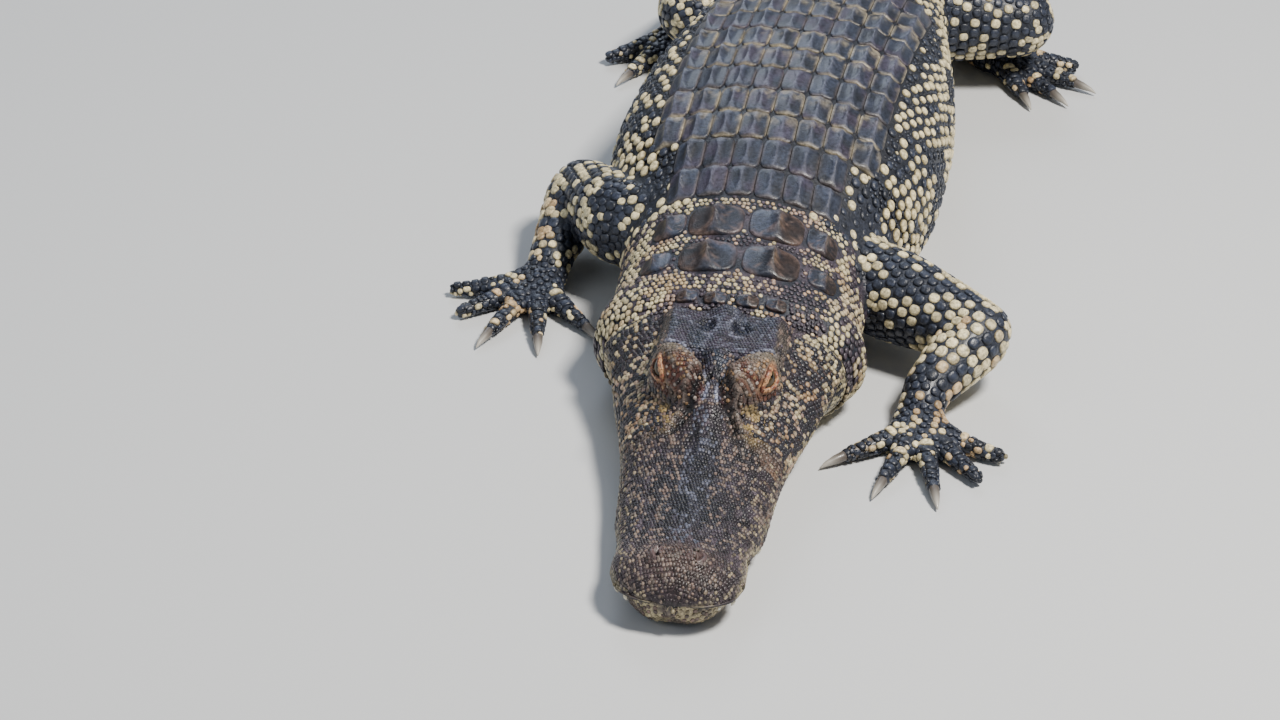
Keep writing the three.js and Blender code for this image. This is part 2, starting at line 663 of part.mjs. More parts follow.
function addHead() {
  let head = headSolid();
  for (const side of [1, -1]) {
    const [rimLong, rimHigh] = LIDS.rim;
    const [long, high] = LIDS.slit;
    const lids = almond(side, [[4, rimLong, rimHigh], [30, rimLong, rimHigh]]);
    head = head.add(ball(eyeCentre(side), EYE.radius + LIDS.proud, 14, 9).intersect(lids));
    head = head.subtract(ball(eyeCentre(side), EYE.radius + GAP));
    head = head.subtract(almond(side, [[2, long - 2, high - 1], [30, long + 2, high + 2]]));
    head = head.subtract(nostrilSlit(side)).subtract(earSlit(side));
    head = toothRow(side).reduce((sum, one) => sum.add(one), head);
    addNode(side > 0 ? "eye_left" : "eye_right", ball(eyeCentre(side), EYE.radius), COLOURS.eye);
  }
  addNode("head", largest(head), COLOURS.head);
  addNode("lower_jaw", lowerJawSolid(), COLOURS.head);
}

function addBody() {
  const plates = {
    neck: neckPlates,
    torso_front: shieldPlates,
    torso_rear: shieldPlates,
  };
  for (const [name, stations] of Object.entries(STATIONS)) {
    const cover = (plates[name] ?? crestPlates)(stations[0], stations.at(-1));
    addNode(name, withPlates(bodyRings(stations, ROUND[name]), cover), COLOURS.skin);
  }
}

function addLimbs() {
  const parts = ["neck", "torso_front", "torso_rear", "tail_base"];
  const grown = parts.map((name) => bodyRings(STATIONS[name], ROUND[name], GAP * 1.5, -1));
  const body = grown.reduce((sum, one) => sum.add(one));
  for (const [name, limb] of Object.entries(LIMBS)) {
    const foot = limb.front ? FRONT_FOOT : HIND_FOOT;
    const radii = limb.front ? FRONT_RADII : HIND_RADII;
    const { points, middle, end } = limbFrame(limb);
    const elbow = ball(points[2], radii[2], LIMB_SIDES, 5);
    const wrist = ball(points[3], radii[3], LIMB_SIDES, 5);
    const upper = limbStretch(points.slice(0, 3), radii, 3, 3, LIMB_SIDES).add(elbow);
    const lower = limbStretch(points.slice(2, 4), radii.slice(2), 3, 3, LIMB_SIDES).add(elbow).add(wrist);
    addNode(name + "_upper_leg", largest(beforeJoint(upper, middle).subtract(body)), COLOURS.skin);
    const shank = beforeJoint(behindJoint(lower, middle), end);
    addNode(name + "_lower_leg", largest(shank.subtract(body)), COLOURS.skin);
    addNode(name + "_foot", footSolid(limb, foot, radii), COLOURS.skin);
    for (let toe = 0; toe < foot.claws; toe++) {
      addNode(name + "_claw_" + (toe + 1), clawSolid(limb, foot, toe), COLOURS.claw);
    }
  }
}

addHead();
addBody();
addLimbs();

// The origin is under the middle of the whole animal, on the floor
const box = new THREE.Box3().setFromObject(alligator);
const middle = box.getCenter(new THREE.Vector3());
alligator.position.set(-middle.x, -middle.y, 0);

export default alligator;
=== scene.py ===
# Looks of the american alligator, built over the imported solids.
# Lengths are in millimetres until they go into a mesh. A place on the animal is s (distance from
# the snout tip along the spine), x (distance to the left of the spine) and z (height).
import math
from itertools import product

import bpy
import numpy as np
from mathutils import Matrix, Vector
from mathutils.bvhtree import BVHTree


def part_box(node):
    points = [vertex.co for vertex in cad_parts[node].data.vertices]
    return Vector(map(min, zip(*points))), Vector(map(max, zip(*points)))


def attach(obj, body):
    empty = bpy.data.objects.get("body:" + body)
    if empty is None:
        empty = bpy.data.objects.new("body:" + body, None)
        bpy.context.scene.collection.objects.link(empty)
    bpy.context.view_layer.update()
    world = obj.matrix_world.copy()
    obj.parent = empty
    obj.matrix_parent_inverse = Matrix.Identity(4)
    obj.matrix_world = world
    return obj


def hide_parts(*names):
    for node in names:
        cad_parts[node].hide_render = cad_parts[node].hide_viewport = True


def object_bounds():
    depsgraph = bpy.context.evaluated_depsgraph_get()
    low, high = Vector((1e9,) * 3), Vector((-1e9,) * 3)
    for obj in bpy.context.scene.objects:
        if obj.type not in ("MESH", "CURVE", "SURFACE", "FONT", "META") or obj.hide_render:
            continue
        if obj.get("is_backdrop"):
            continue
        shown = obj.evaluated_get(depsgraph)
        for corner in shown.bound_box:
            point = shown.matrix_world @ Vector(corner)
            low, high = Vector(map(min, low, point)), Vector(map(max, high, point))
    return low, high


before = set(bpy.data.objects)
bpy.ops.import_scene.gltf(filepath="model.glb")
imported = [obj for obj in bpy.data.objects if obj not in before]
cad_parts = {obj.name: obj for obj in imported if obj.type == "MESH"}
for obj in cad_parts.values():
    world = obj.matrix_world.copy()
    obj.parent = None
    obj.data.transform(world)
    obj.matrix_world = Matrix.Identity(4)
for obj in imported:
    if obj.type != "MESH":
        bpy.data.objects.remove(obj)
cad_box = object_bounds()
MM = 0.001

# Driving dimensions, as in the solids
LENGTH = 2700
SKULL = 366
HEAD_END = 386
NECK_END = 547
ROW = 40
ROWS = 18
VENT = NECK_END + ROWS * ROW
TAIL_TIP = LENGTH - 4
TURNS = [[0, 0], [450, 0], [620, 2], [820, 5], [1150, 5], [1400, 9], [1700, 14], [2000, 3], [2300, -15],
         [2700, -30]]
HALF_WIDTH = [[386, 116], [416, 129], [470, 119], [545, 122], [640, 153], [735, 166], [830, 163],
              [930, 149], [1040, 126], [1150, 107], [1250, 95], [1400, 82], [1600, 65], [1850, 46],
              [2150, 28], [2450, 15], [2696, 3]]
BACK = [[386, 112], [430, 124], [480, 134], [545, 148], [640, 174], [735, 190], [840, 197], [950, 195],
        [1060, 188], [1160, 178], [1250, 169], [1400, 154], [1600, 134], [1850, 112], [2150, 86],
        [2450, 54], [2696, 10]]
WAIST = [[386, 46], [545, 56], [850, 78], [1160, 76], [1600, 62], [2150, 42], [2696, 5]]
SQUARE = [[386, 2.1], [545, 2.1], [850, 2.35], [1160, 2.2], [1600, 2.0], [2696, 2.0]]
BELLY_SQUARE = 2.5
BELLY_SAG = 5
JAW_HALF = [[0, 6], [4, 26], [14, 43], [30, 54], [50, 59], [76, 58], [105, 62], [135, 67], [165, 69],
            [205, 73], [240, 79], [270, 86], [305, 94], [345, 104], [386, 116]]
MOUTH = [[0, 31], [30, 27], [66, 31], [84, 30], [125, 22], [150, 23], [195, 31], [245, 35], [300, 39],
         [335, 49], [366, 60], [386, 64]]
FACE = [[0, 34], [6, 45], [18, 54], [40, 58], [75, 56], [115, 59], [150, 63], [185, 69], [215, 78],
        [240, 86], [262, 92], [300, 97], [340, 101], [386, 112]]
FACE_SQUARE = [[0, 2.0], [40, 2.4], [130, 2.4], [190, 2.3], [250, 2.1], [300, 2.0], [386, 2.1]]
LOWER_HALF = [[0, 3], [8, 8], [12, 21], [22, 36], [34, 45], [50, 50], [76, 49], [105, 53], [135, 58],
              [165, 60], [205, 64], [245, 70], [300, 83], [335, 93], [366, 105], [386, 114]]
CHIN = [[0, 22], [8, 15], [14, 6], [28, 0]]
# The ways out of the eye and along its slit, as x, s and z, and half the slit's length and width
EYE = {"x": 40, "s": 275, "z": 105, "radius": 16, "look": (0.87, -0.27, 0.41), "slit": (-10, -36, -16)}
SLIT = (13.5, 5.4)
EYE_DOME = {"x": 34, "s": 273, "lean": 0.45, "top": 128, "wide": 24, "long": 32}
TABLE = {"front": 299, "rear": SKULL, "half": 51, "high": 119}
BROW = {"rear": (12, 272), "front": (40, 208), "high": 3.4, "half": 4}
GROOVE = {"in": 8, "deep": 3.6, "half": 3.6}
NOSE = {"s": 36, "long": 19, "half": 30, "high": 5}
NOSTRIL = {"x": 18, "s": 38, "bump": 3, "radius": 10, "long": 7.5, "wide": 2.6, "deep": 6}
EAR = {"from": 296, "to": 344, "x": 57, "z": 106}
TEETH = {"from": 16, "pitch": 20, "count": 13, "radius": 3.2, "root": 4}
TOOTH_LENGTH = [[12, 6], [50, 11], [72, 5], [105, 7], [130, 13], [165, 7], [210, 6], [300, 4]]
NECK_PLATES = [[399, 15, 15, 22, 4], [401, 42, 14, 20, 4], [456, 30, 44, 56, 14], [458, 79, 28, 28, 8],
               [510, 29, 44, 54, 13], [511, 73, 32, 30, 9]]
PLATE = {"edge": 2.6, "width": 28, "keel": 7}
SHIELD = [[547, 62], [640, 98], [760, 116], [900, 112], [1060, 86], [1150, 68], [1267, 60]]
WHORL = [[1267, 39], [1700, 37], [2200, 32], [2650, 24]]
CREST = [[1267, 13], [1420, 23], [1620, 31], [1900, 36], [2150, 36], [2400, 28], [2680, 9]]
CREST_APART = [[1267, 50], [1500, 37], [1750, 18], [1880, 8]]
CREST_JOINS = 1880
# Front and hind limbs: radii at the joints, and the foot, with its toes as degrees and lengths
FRONT = {"radii": [50, 44, 31, 23, 20], "palm": 46, "half": 27, "radius": 9.5, "web": 0.3, "seed": 3,
         "toes": [[-58, 60], [-24, 74], [4, 78], [32, 70], [64, 56]]}
HIND = {"radii": [56, 55, 39, 26, 22], "palm": 58, "half": 28, "radius": 10.5, "web": 0.72, "seed": 5,
        "toes": [[-32, 62], [-12, 72], [10, 73], [35, 62]]}
# Each limb: its kind, its side, where its toes point, and its joints as s, x and z
LIMBS = {
    "front_left": (FRONT, 1, 8, [[575, 70, 66], [552, 128, 62], [492, 232, 58], [424, 190, 30],
                                 [398, 184, 17]]),
    "front_right": (FRONT, -1, 16, [[590, -76, 80], [600, -128, 76], [688, -190, 58], [616, -202, 30],
                                    [588, -205, 17]]),
    "hind_left": (HIND, 1, 50, [[1182, 44, 80], [1174, 92, 84], [1184, 184, 80], [1264, 126, 34],
                                [1243, 131, 19]]),
    "hind_right": (HIND, -1, 20, [[1168, -44, 80], [1152, -94, 84], [1094, -164, 80], [1206, -184, 34],
                                  [1184, -187, 19]]),
}
CLAW = {"length": 25, "radius": 5.2}

# The skin lies this far inside the solids, under the scales
COAT = 1.2
FACE_COAT = 0.6

# The skin's mesh: distance between its rings on the head and behind JOIN, points on half a ring of the
# head, the size of the squares of a limb, and the place behind which limbs join
HEAD_STEP = 1.9
BODY_STEP = 12
JOIN = 400
UPPER_POINTS = 76
LIP_POINTS = 6
LOWER_POINTS = 29
LIMB_VOXEL = 3.6
LIMBS_FROM = 470
MOST_TRIANGLES = 200000


def through(table):
    """A smooth curve through [place, value] pairs that never overshoots them."""
    at, value = np.array(table, float).T
    slope = np.diff(value) / np.diff(at)
    lean = np.concatenate([slope[:1], np.zeros(len(at) - 2), slope[-1:]])
    a, b = slope[:-1], slope[1:]
    same = a * b > 0
    lean[1:-1][same] = 2 * (a * b)[same] / (a + b)[same]

    def curve(s):
        s = np.clip(np.asarray(s, float), at[0], at[-1])
        i = np.clip(np.searchsorted(at, s, side="right") - 1, 0, len(at) - 2)
        step = at[i + 1] - at[i]
        t = (s - at[i]) / step
        rise = value[i + 1] - value[i]
        bend = t * (1 - t) * ((1 - t) * (lean[i] * step - rise) - t * (lean[i + 1] * step - rise))
        return value[i] + rise * t + bend

    return curve


def straight(table):
    at, value = np.array(table, float).T
    return lambda s: np.interp(s, at, value)


turn, half_width, back, waist = through(TURNS), through(HALF_WIDTH), through(BACK), through(WAIST)
square, jaw_half, face, face_square = through(SQUARE), through(JAW_HALF), through(FACE), through(FACE_SQUARE)
mouth, lower_half, chin = straight(MOUTH), through(LOWER_HALF), through(CHIN)
shield, whorl, crest, crest_apart = through(SHIELD), through(WHORL), through(CREST), through(CREST_APART)
tooth_length = through(TOOTH_LENGTH)

# The spine in plan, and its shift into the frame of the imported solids
STEP = 2.0
heading = np.radians(turn(np.arange(0, LENGTH, STEP) + STEP / 2))
SPINE = np.concatenate([[[0, 0]], np.cumsum(STEP * np.stack([np.sin(heading), np.cos(heading)], 1), 0)])
eyes = [np.mean(np.array(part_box(name)), axis=0) / MM for name in ("eye_left", "eye_right")]
SHIFT = np.mean(eyes, axis=0) - np.array([0, EYE["s"], EYE["z"]])
SHIFT[2] = 0


def to_world(points):
    return (points + SHIFT) * MM


def place(s, x, z):
    """Points in the script's own millimetres from places on the animal."""
    s, x, z = np.broadcast_arrays(np.asarray(s, float), x, z)
    at = np.clip(s / STEP, 0, len(SPINE) - 1.001)
    i = at.astype(int)
    f = at - i
    angle = np.radians(turn(s))
    cx = SPINE[i, 0] * (1 - f) + SPINE[i + 1, 0] * f
    cy = SPINE[i, 1] * (1 - f) + SPINE[i + 1, 1] * f + np.minimum(s, 0)
    return np.stack([cx + x * np.cos(angle), cy - x * np.sin(angle), z], -1)


def along_spine(points):
    """s, x and z of points, the inverse of place."""
    s = np.interp(points[:, 1], SPINE[:, 1], np.arange(len(SPINE)) * STEP)
    for _ in range(5):
        angle = np.radians(turn(s))
        c = place(s, 0, 0)
        ahead = (points[:, 0] - c[:, 0]) * np.sin(angle) + (points[:, 1] - c[:, 1]) * np.cos(angle)
        s = np.clip(s + ahead, 0, LENGTH)
    angle = np.radians(turn(s))
    c = place(s, 0, 0)
    x = (points[:, 0] - c[:, 0]) * np.cos(angle) - (points[:, 1] - c[:, 1]) * np.sin(angle)
    return s, x, points[:, 2]


def way_of_spine(s):
    return place(s + 1, 0, 0) - place(s, 0, 0)


def smooth(a, b, t):
    """0 at a, 1 at b, with soft ends."""
    t = np.clip((np.asarray(t, float) - a) / (b - a), 0, 1)
    return t * t * (3 - 2 * t)


def soft_max(a, b, k):
    """The larger of two heights, rounded where they cross."""
    h = np.maximum(k - np.abs(a - b), 0) / k
    return np.maximum(a, b) + h * h * k / 4


def unit(ways):
    return ways / np.maximum(np.linalg.norm(ways, axis=-1, keepdims=True), 1e-9)


def arch(t, power):
    return np.maximum(1 - np.minimum(np.abs(t), 1) ** power, 0) ** (1 / power)


def lattice(i, j, seed):
    """A fixed number from 0 to 1 for each corner of a grid."""
    n = (i * 374761393 + j * 668265263 + seed * 974634777) & 0x7FFFFFFF
    n = ((n ^ (n >> 13)) * 1274126177) & 0x7FFFFFFF
    return ((n ^ (n >> 16)) & 0xFFFF) / 65535.0


def noise(x, y, size, seed):
    """Value noise from 0 to 1 over a plane, with cells of the given size."""
    x, y = np.asarray(x, float) / size + 1000, np.asarray(y, float) / size + 1000
    i, j = np.floor(x).astype(np.int64), np.floor(y).astype(np.int64)
    fx, fy = x - i, y - j
    fx, fy = fx * fx * (3 - 2 * fx), fy * fy * (3 - 2 * fy)
    low = lattice(i, j, seed) * (1 - fx) + lattice(i + 1, j, seed) * fx
    high = lattice(i, j + 1, seed) * (1 - fx) + lattice(i + 1, j + 1, seed) * fx
    return low * (1 - fy) + high * fy


def rough(x, y, size, seed, octaves=3):
    """Noise with finer noise over it."""
    total = sum(noise(x, y, size / 2 ** k, seed + k) / 2 ** k for k in range(octaves))
    return total / sum(1 / 2 ** k for k in range(octaves))


def cells(x, y, size, seed):
    """Distances to the nearest and second nearest of scattered points, in cells."""
    x, y = np.asarray(x, float) / size + 1000, np.asarray(y, float) / size + 1000
    i, j = np.floor(x).astype(np.int64), np.floor(y).astype(np.int64)
    near, second = np.full(x.shape, 9.0), np.full(x.shape, 9.0)
    for di, dj in product((-1, 0, 1), repeat=2):
        px = i + di + 0.15 + 0.7 * lattice(i + di, j + dj, seed)
        py = j + dj + 0.15 + 0.7 * lattice(i + di, j + dj, seed + 7)
        d = np.hypot(px - x, py - y)
        second = np.minimum(second, np.maximum(d, near))
        near = np.minimum(near, d)
    return near, second


# The body as a sheet: s along the spine, v round it from the middle of the back, in millimetres
SHEET_S = np.arange(380, TAIL_TIP + 1, 4.0)
SHEET_W = np.linspace(-1, 1, 257)


def section(s, angle):
    """x and z on the body's outline at an angle from the top."""
    up, across = np.cos(angle), np.sin(angle)
    power = 2 / np.where(up > 0, square(s), BELLY_SQUARE)
    x = half_width(s) * np.sign(across) * np.abs(across) ** power
    rise = np.abs(up) ** power
    z = np.where(up > 0, waist(s) + (back(s) - waist(s)) * rise, waist(s) - (waist(s) + BELLY_SAG) * rise)
    return x, np.maximum(z, 0)


def run_along(x, z):
    """The way covered along each row's outline at each of its points."""
    return np.concatenate([np.zeros((len(x), 1)), np.cumsum(np.hypot(np.diff(x), np.diff(z)), 1)], 1)


def even_outline(x, z, count):
    """Points at even distances along each row's outline, and each row's length."""
    run = run_along(x, z)
    total = run[:, -1]
    wanted = np.linspace(0, 1, count)
    ex, ez = (np.array([np.interp(wanted * t, r, row) for t, r, row in zip(total, run, rows)])
              for rows in (x, z))
    return ex, ez, total


def make_sheet():
    x, z, total = even_outline(*section(SHEET_S[:, None], np.linspace(0, math.pi, 400)[None, :]), 129)
    x = np.concatenate([-x[:, :0:-1], x], 1)
    z = np.concatenate([z[:, :0:-1], z], 1)
    return place(SHEET_S[:, None], x, z), total, x


SHEET, SHEET_HALF, SHEET_X = make_sheet()


def look_up(table, s, w):
    """A value of a table over the sheet, between its rows and columns."""
    a = np.clip((np.asarray(s, float) - SHEET_S[0]) / (SHEET_S[1] - SHEET_S[0]), 0, len(SHEET_S) - 1.001)
    b = np.clip((np.asarray(w, float) + 1) / 2 * (len(SHEET_W) - 1), 0, len(SHEET_W) - 1.001)
    i, j = a.astype(int), b.astype(int)
    f, g = a - i, b - j
    if table.ndim == 3:
        f, g = f[..., None], g[..., None]
    low = table[i, j] * (1 - f) + table[i + 1, j] * f
    high = table[i, j + 1] * (1 - f) + table[i + 1, j + 1] * f
    return low * (1 - g) + high * g


def girth(s):
    return np.interp(s, SHEET_S, SHEET_HALF)


def wrapped(s, v):
    """A point of the body at s along it and v round it."""
    return look_up(SHEET, s, v / girth(s))


def back_height(s, x):
    return waist(s) + (back(s) - waist(s)) * arch(x / half_width(s), square(s))


def on_back(s, x):
    return place(s, x, back_height(s, x))


def normal_of(sheet, s, v):
    p = sheet(s, v)
    return unit(np.cross(sheet(s, v + 1.0) - p, sheet(s + 1.5, v) - p))


# Head
def across_dome(x, s):
    """How far out over the eye's bump a place lies: 0 at its middle and 1 at its foot."""
    away = s - EYE_DOME["s"]
    off = np.abs(x) - EYE_DOME["x"] - EYE_DOME["lean"] * away
    return (off / EYE_DOME["wide"]) ** 2 + (away / EYE_DOME["long"]) ** 2


def brow_line(x, s):
    """How far along the ridge before the eye a place lies, and how far out beside it."""
    (rx, rs), (fx, fs) = BROW["rear"], BROW["front"]
    t = (s - rs) / (fs - rs)
    return t, np.abs(x) - rx - (fx - rx) * t


def pit_share(x, s):
    """Distance from the middle of the pit in the skull table, in pit radii."""
    return np.hypot(np.abs(x) - 17, (s - 341) * 0.8) / 9


def ear_share(s, x):
    """1 along the slit over the ear, falling to 0 past its ends."""
    return smooth(EAR["from"], EAR["from"] + 5, s) * smooth(EAR["to"], EAR["to"] - 9, s) * (np.abs(x) > 48)


def head_height(x, s):
    side = np.abs(x)
    base = mouth(s) + (face(s) - mouth(s)) * arch(x / jaw_half(s), face_square(s))
    bar = face(s) + 13 * smooth(215, 262, s) + 9 * smooth(270, 300, s) - 0.05 * side * side
    z = soft_max(base, bar, 8)
    bow = (side / TABLE["half"]) ** 2
    front, rear = TABLE["front"] + 7 * bow, TABLE["rear"] - 2 + 12 * bow
    over = np.maximum(side - TABLE["half"] + 3, 0)
    ahead = np.maximum(front + 2 - s, 0)
    past = np.maximum(s - rear + 1, 0)
    slab = TABLE["high"] + 12 - np.sqrt((2.6 * over) ** 2 + (2.4 * ahead) ** 2 + (2.4 * past) ** 2 + 144)
    horn = 3.5 * smooth(30, TABLE["half"], side) * smooth(TABLE["front"] + 20, TABLE["rear"], s)
    dish = 2 * np.exp(-(side / 24) ** 2)
    z = soft_max(z, slab + horn - dish, 6)
    d = across_dome(x, s)
    top = EYE_DOME["top"] - 4 * d
    z = z + np.maximum(top - z, 0) * np.maximum(1 - d * d, 0) ** 0.8
    t, off = brow_line(x, s)
    along = smooth(-0.12, 0.12, t) * (1 - smooth(0.75, 1.1, t))
    z = z + BROW["high"] * np.exp(-(off / BROW["half"]) ** 2) * along
    inner = (off + GROOVE["in"]) / GROOVE["half"]
    z = z - GROOVE["deep"] * np.exp(-inner * inner) * smooth(-0.3, 0.1, t) * (1 - smooth(0.7, 1.0, t))
    z = z + NOSE["high"] * np.exp(-(side / NOSE["half"]) ** 4 - ((s - NOSE["s"]) / NOSE["long"]) ** 4)
    n = np.hypot(side - NOSTRIL["x"], s - NOSTRIL["s"]) / NOSTRIL["radius"]
    z = z + NOSTRIL["bump"] * np.exp(-n * n)
    behind = smooth(TABLE["rear"] + 2, HEAD_END, s)
    return z * (1 - behind) + back_height(np.maximum(s, HEAD_END), x) * behind


def head_rings(stations):
    """x and z round the head, from the middle of the top down the left side to under the chin."""
    s = stations[:, None]
    half = jaw_half(s)
    x = half * np.sin(np.linspace(0, 1, 500)[None, :] * math.pi / 2)
    z = head_height(x, s)
    z[:, -1] = mouth(stations) + 2
    ux, uz, _ = even_outline(x, z, UPPER_POINTS + 1)
    closed = smooth(335, 372, s)
    low = lower_half(s) * (1 - closed) + (half - 0.5) * closed
    t = np.linspace(0, 1, LIP_POINTS + 2)[None, 1:-1]
    open_by = (1 - closed) * smooth(1, 14, s)
    over = half - 3 * open_by
    inner = np.maximum(low - 5 * open_by, 0.4 * low)
    lip_x = np.where(t < 0.34, half + (over - half) * t / 0.34, over + (inner - over) * (t - 0.34) / 0.33)
    lip_x = np.where(t < 0.67, lip_x, inner + (low - inner) * (t - 0.67) / 0.33)
    lip_z = mouth(s) + 2 - 3.4 * smooth(0, 1, t)
    angle = np.linspace(0, math.pi / 2, 300)[None, :]
    lx = low * np.cos(angle) ** 0.8
    lz = (mouth(s) - 1.4) * (1 - np.sin(angle) ** 0.8 * 1.06)
    lx, lz, _ = even_outline(lx, soft_max(lz, chin(s), 7), LOWER_POINTS + 1)
    return np.concatenate([ux, lip_x, lx], 1), np.concatenate([uz, lip_z, lz], 1)


def body_rings(stations, share):
    """x and z round the body at given shares of the way from the top to the belly."""
    x, z = section(stations[:, None], np.linspace(0, math.pi, 400)[None, :])
    x, z, _ = even_outline(x, z, 400)
    even = np.linspace(0, 1, 400)
    return [np.array([np.interp(share, even, row) for row in rows]) for rows in (x, z)]


def ring_share():
    """Where each point of the head's last ring lies on the way round."""
    run = run_along(*head_rings(np.array([HEAD_END - 1.0])))[0]
    return run / run[-1]


# Colours, linear
INK = np.array([0.010, 0.011, 0.015])
# Bluish slate: partly the hide's own dark colour, partly a painted reflection of the blue sky on the wet hide
SLATE = np.array([0.034, 0.042, 0.068])
CREAM = np.array([0.80, 0.69, 0.42])
YELLOW = np.array([0.68, 0.50, 0.18])
TAN = np.array([0.34, 0.20, 0.10])
PINK = np.array([0.42, 0.28, 0.23])
PLUM = np.array([0.064, 0.048, 0.062])
BROWN = np.array([0.105, 0.062, 0.048])
GREY = np.array([0.235, 0.190, 0.165])
FROST = np.array([0.165, 0.175, 0.245])
VIOLET = np.array([0.052, 0.040, 0.066])
OLIVE = np.array([0.150, 0.122, 0.078])
RUST = np.array([0.120, 0.036, 0.020])
AMBER = np.array([0.40, 0.21, 0.10])


def mix(a, b, t):
    t = np.asarray(t, float)[..., None]
    return a * (1 - t) + b * t


def body_paint(s, v):
    """Colour of the hide between and under the scales."""
    base = mix(INK, SLATE, 0.5 * rough(s, v, 30, 3))
    seams = (1 - smooth(-4, 1, np.abs(v) - shield_edge(s))) * smooth(NECK_END - 10, NECK_END + 4, s)
    base = mix(base, INK * 1.6, seams * (1 - smooth(VENT - 10, VENT + 20, s)))
    low = smooth(0.62, 0.8, np.abs(v) / girth(s))
    base = mix(base, CREAM * 0.55, low)
    grey = smooth(0.45, 0.75, rough(s, v, 14, 9)) * (1 - smooth(500, 560, s))
    return mix(base, PLUM * 1.4, grey * 0.7)


def snout_paint(s, x, z, side, n2, n3):
    """Dark plum with a bluish ridge and a brown nose, turning to the granular cheeks."""
    grain = noise(s * 0.45, x + z, 2.6, 24)
    streak = smooth(0.45, 0.62, rough(s * 0.3, x, 6, 25))
    snout = mix(PLUM * 0.45, PLUM * 1.2, smooth(0.3, 0.75, 0.5 * n2 + 0.5 * grain))
    blue = np.exp(-(x / 26) ** 2) * smooth(60, 110, s) * (1 - smooth(190, 235, s))
    snout = mix(snout, mix(INK * 1.2, SLATE * 0.8, grain), 0.75 * blue)
    snout = mix(snout, INK * 1.2, 0.6 * streak * (1 - smooth(0.8, 1, side)))
    snout = mix(snout, BROWN * 1.1, np.exp(-((s - NOSE["s"]) / 26) ** 2 - (x / 36) ** 2) * 0.7)
    cheek = smooth(0.55, 0.8, side) * smooth(150, 230, s) + smooth(0.85, 1, side) * smooth(60, 120, s)
    fleck = smooth(0.5, 0.72, 0.5 * n3 + 0.5 * noise(s, x + z, 3.4, 26))
    granular = mix(PLUM * 0.5, mix(PLUM, TAN * 0.8, n2), fleck)
    paint = mix(snout, granular, np.clip(cheek, 0, 1))
    before_eye = np.exp(-((s - 236) / 15) ** 2 - ((np.abs(x) - 42) / 14) ** 2)
    return mix(paint, mix(TAN, YELLOW * 0.9, n3), before_eye * smooth(0.4, 0.6, n3))


def with_table(paint, s, x, z, n2, n3):
    """Adds the skull table, which reaches forward between the eyes, the flaps beside it, and its pits."""
    table = mix(SLATE * 0.85, VIOLET * 0.9, smooth(0.35, 0.65, n2))
    table = mix(table, FROST * 0.7, 0.45 * smooth(0.55, 0.8, n3))
    table = mix(table, INK * 1.2, 0.5 * smooth(0.55, 0.75, rough(s, x, 7, 27)))
    wedge = np.exp(-(x / (5 + 0.4 * np.maximum(s - 262, 0))) ** 4)
    on_top = smooth(284, 300, s) + wedge * smooth(252, 268, s)
    table_side = 1 - smooth(TABLE["half"] - 3, TABLE["half"] + 4, np.abs(x))
    paint = mix(paint, table, np.clip(on_top, 0, 1) * table_side * (1 - smooth(372, 384, s)))
    flap = smooth(TABLE["half"] - 3, TABLE["half"] + 1, np.abs(x)) * smooth(296, 304, s) * (z > 98)
    paint = mix(paint, GREY * 0.4, flap * (1 - smooth(356, 366, s)) * smooth(0.2, 0.5, n3))
    pit = pit_share(x, s)
    # The hollows of the pits are painted near black: painted shade
    paint = mix(paint, INK * np.array([0.8, 0.9, 1.6]), 1 - smooth(0.6, 1.15, pit))
    return mix(paint, FROST * 1.1, 0.75 * np.exp(-((pit - 1.4) / 0.18) ** 2) * smooth(-6, 4, 17 - np.abs(x)))


def with_bumps(paint, s, x, z, n2, n3):
    """Adds the bumps over the eyes, the lids round the slits, and the pale rim behind the bumps."""
    dome = across_dome(x, s)
    bump = mix(OLIVE * 1.3, GREY * 0.8, n3)
    front = smooth(284, 262, s + 0.35 * (34 - np.abs(x)))
    bump = mix(bump, RUST * 0.8, front * (0.3 + 0.7 * smooth(0.35, 0.6, n2)))
    bump = mix(bump, INK * 2, 0.6 * smooth(0.58, 0.72, rough(s * 0.6, x + z, 6, 28)))
    paint = mix(paint, bump, (1 - smooth(0.92, 1.1, dome)) * (z > 92))
    lid = np.zeros_like(dome)
    for sign in (1, -1):
        ring, ahead = round_slit(place(s, x, z), sign, 4, 4.5)
        lid = np.maximum(lid, smooth(1.25, 0.85, ring) * (ahead > 0))
    paint = mix(paint, mix(AMBER * 0.8, RUST, smooth(0.4, 0.65, n3)), 0.9 * lid)
    rim = np.exp(-((dome - 1.12) / 0.12) ** 2) * smooth(0, 10, s - 262 - 0.9 * (np.abs(x) - 34)) * (z > 94)
    return mix(paint, FROST * 2.0, 0.85 * rim * smooth(54, 46, np.abs(x)))


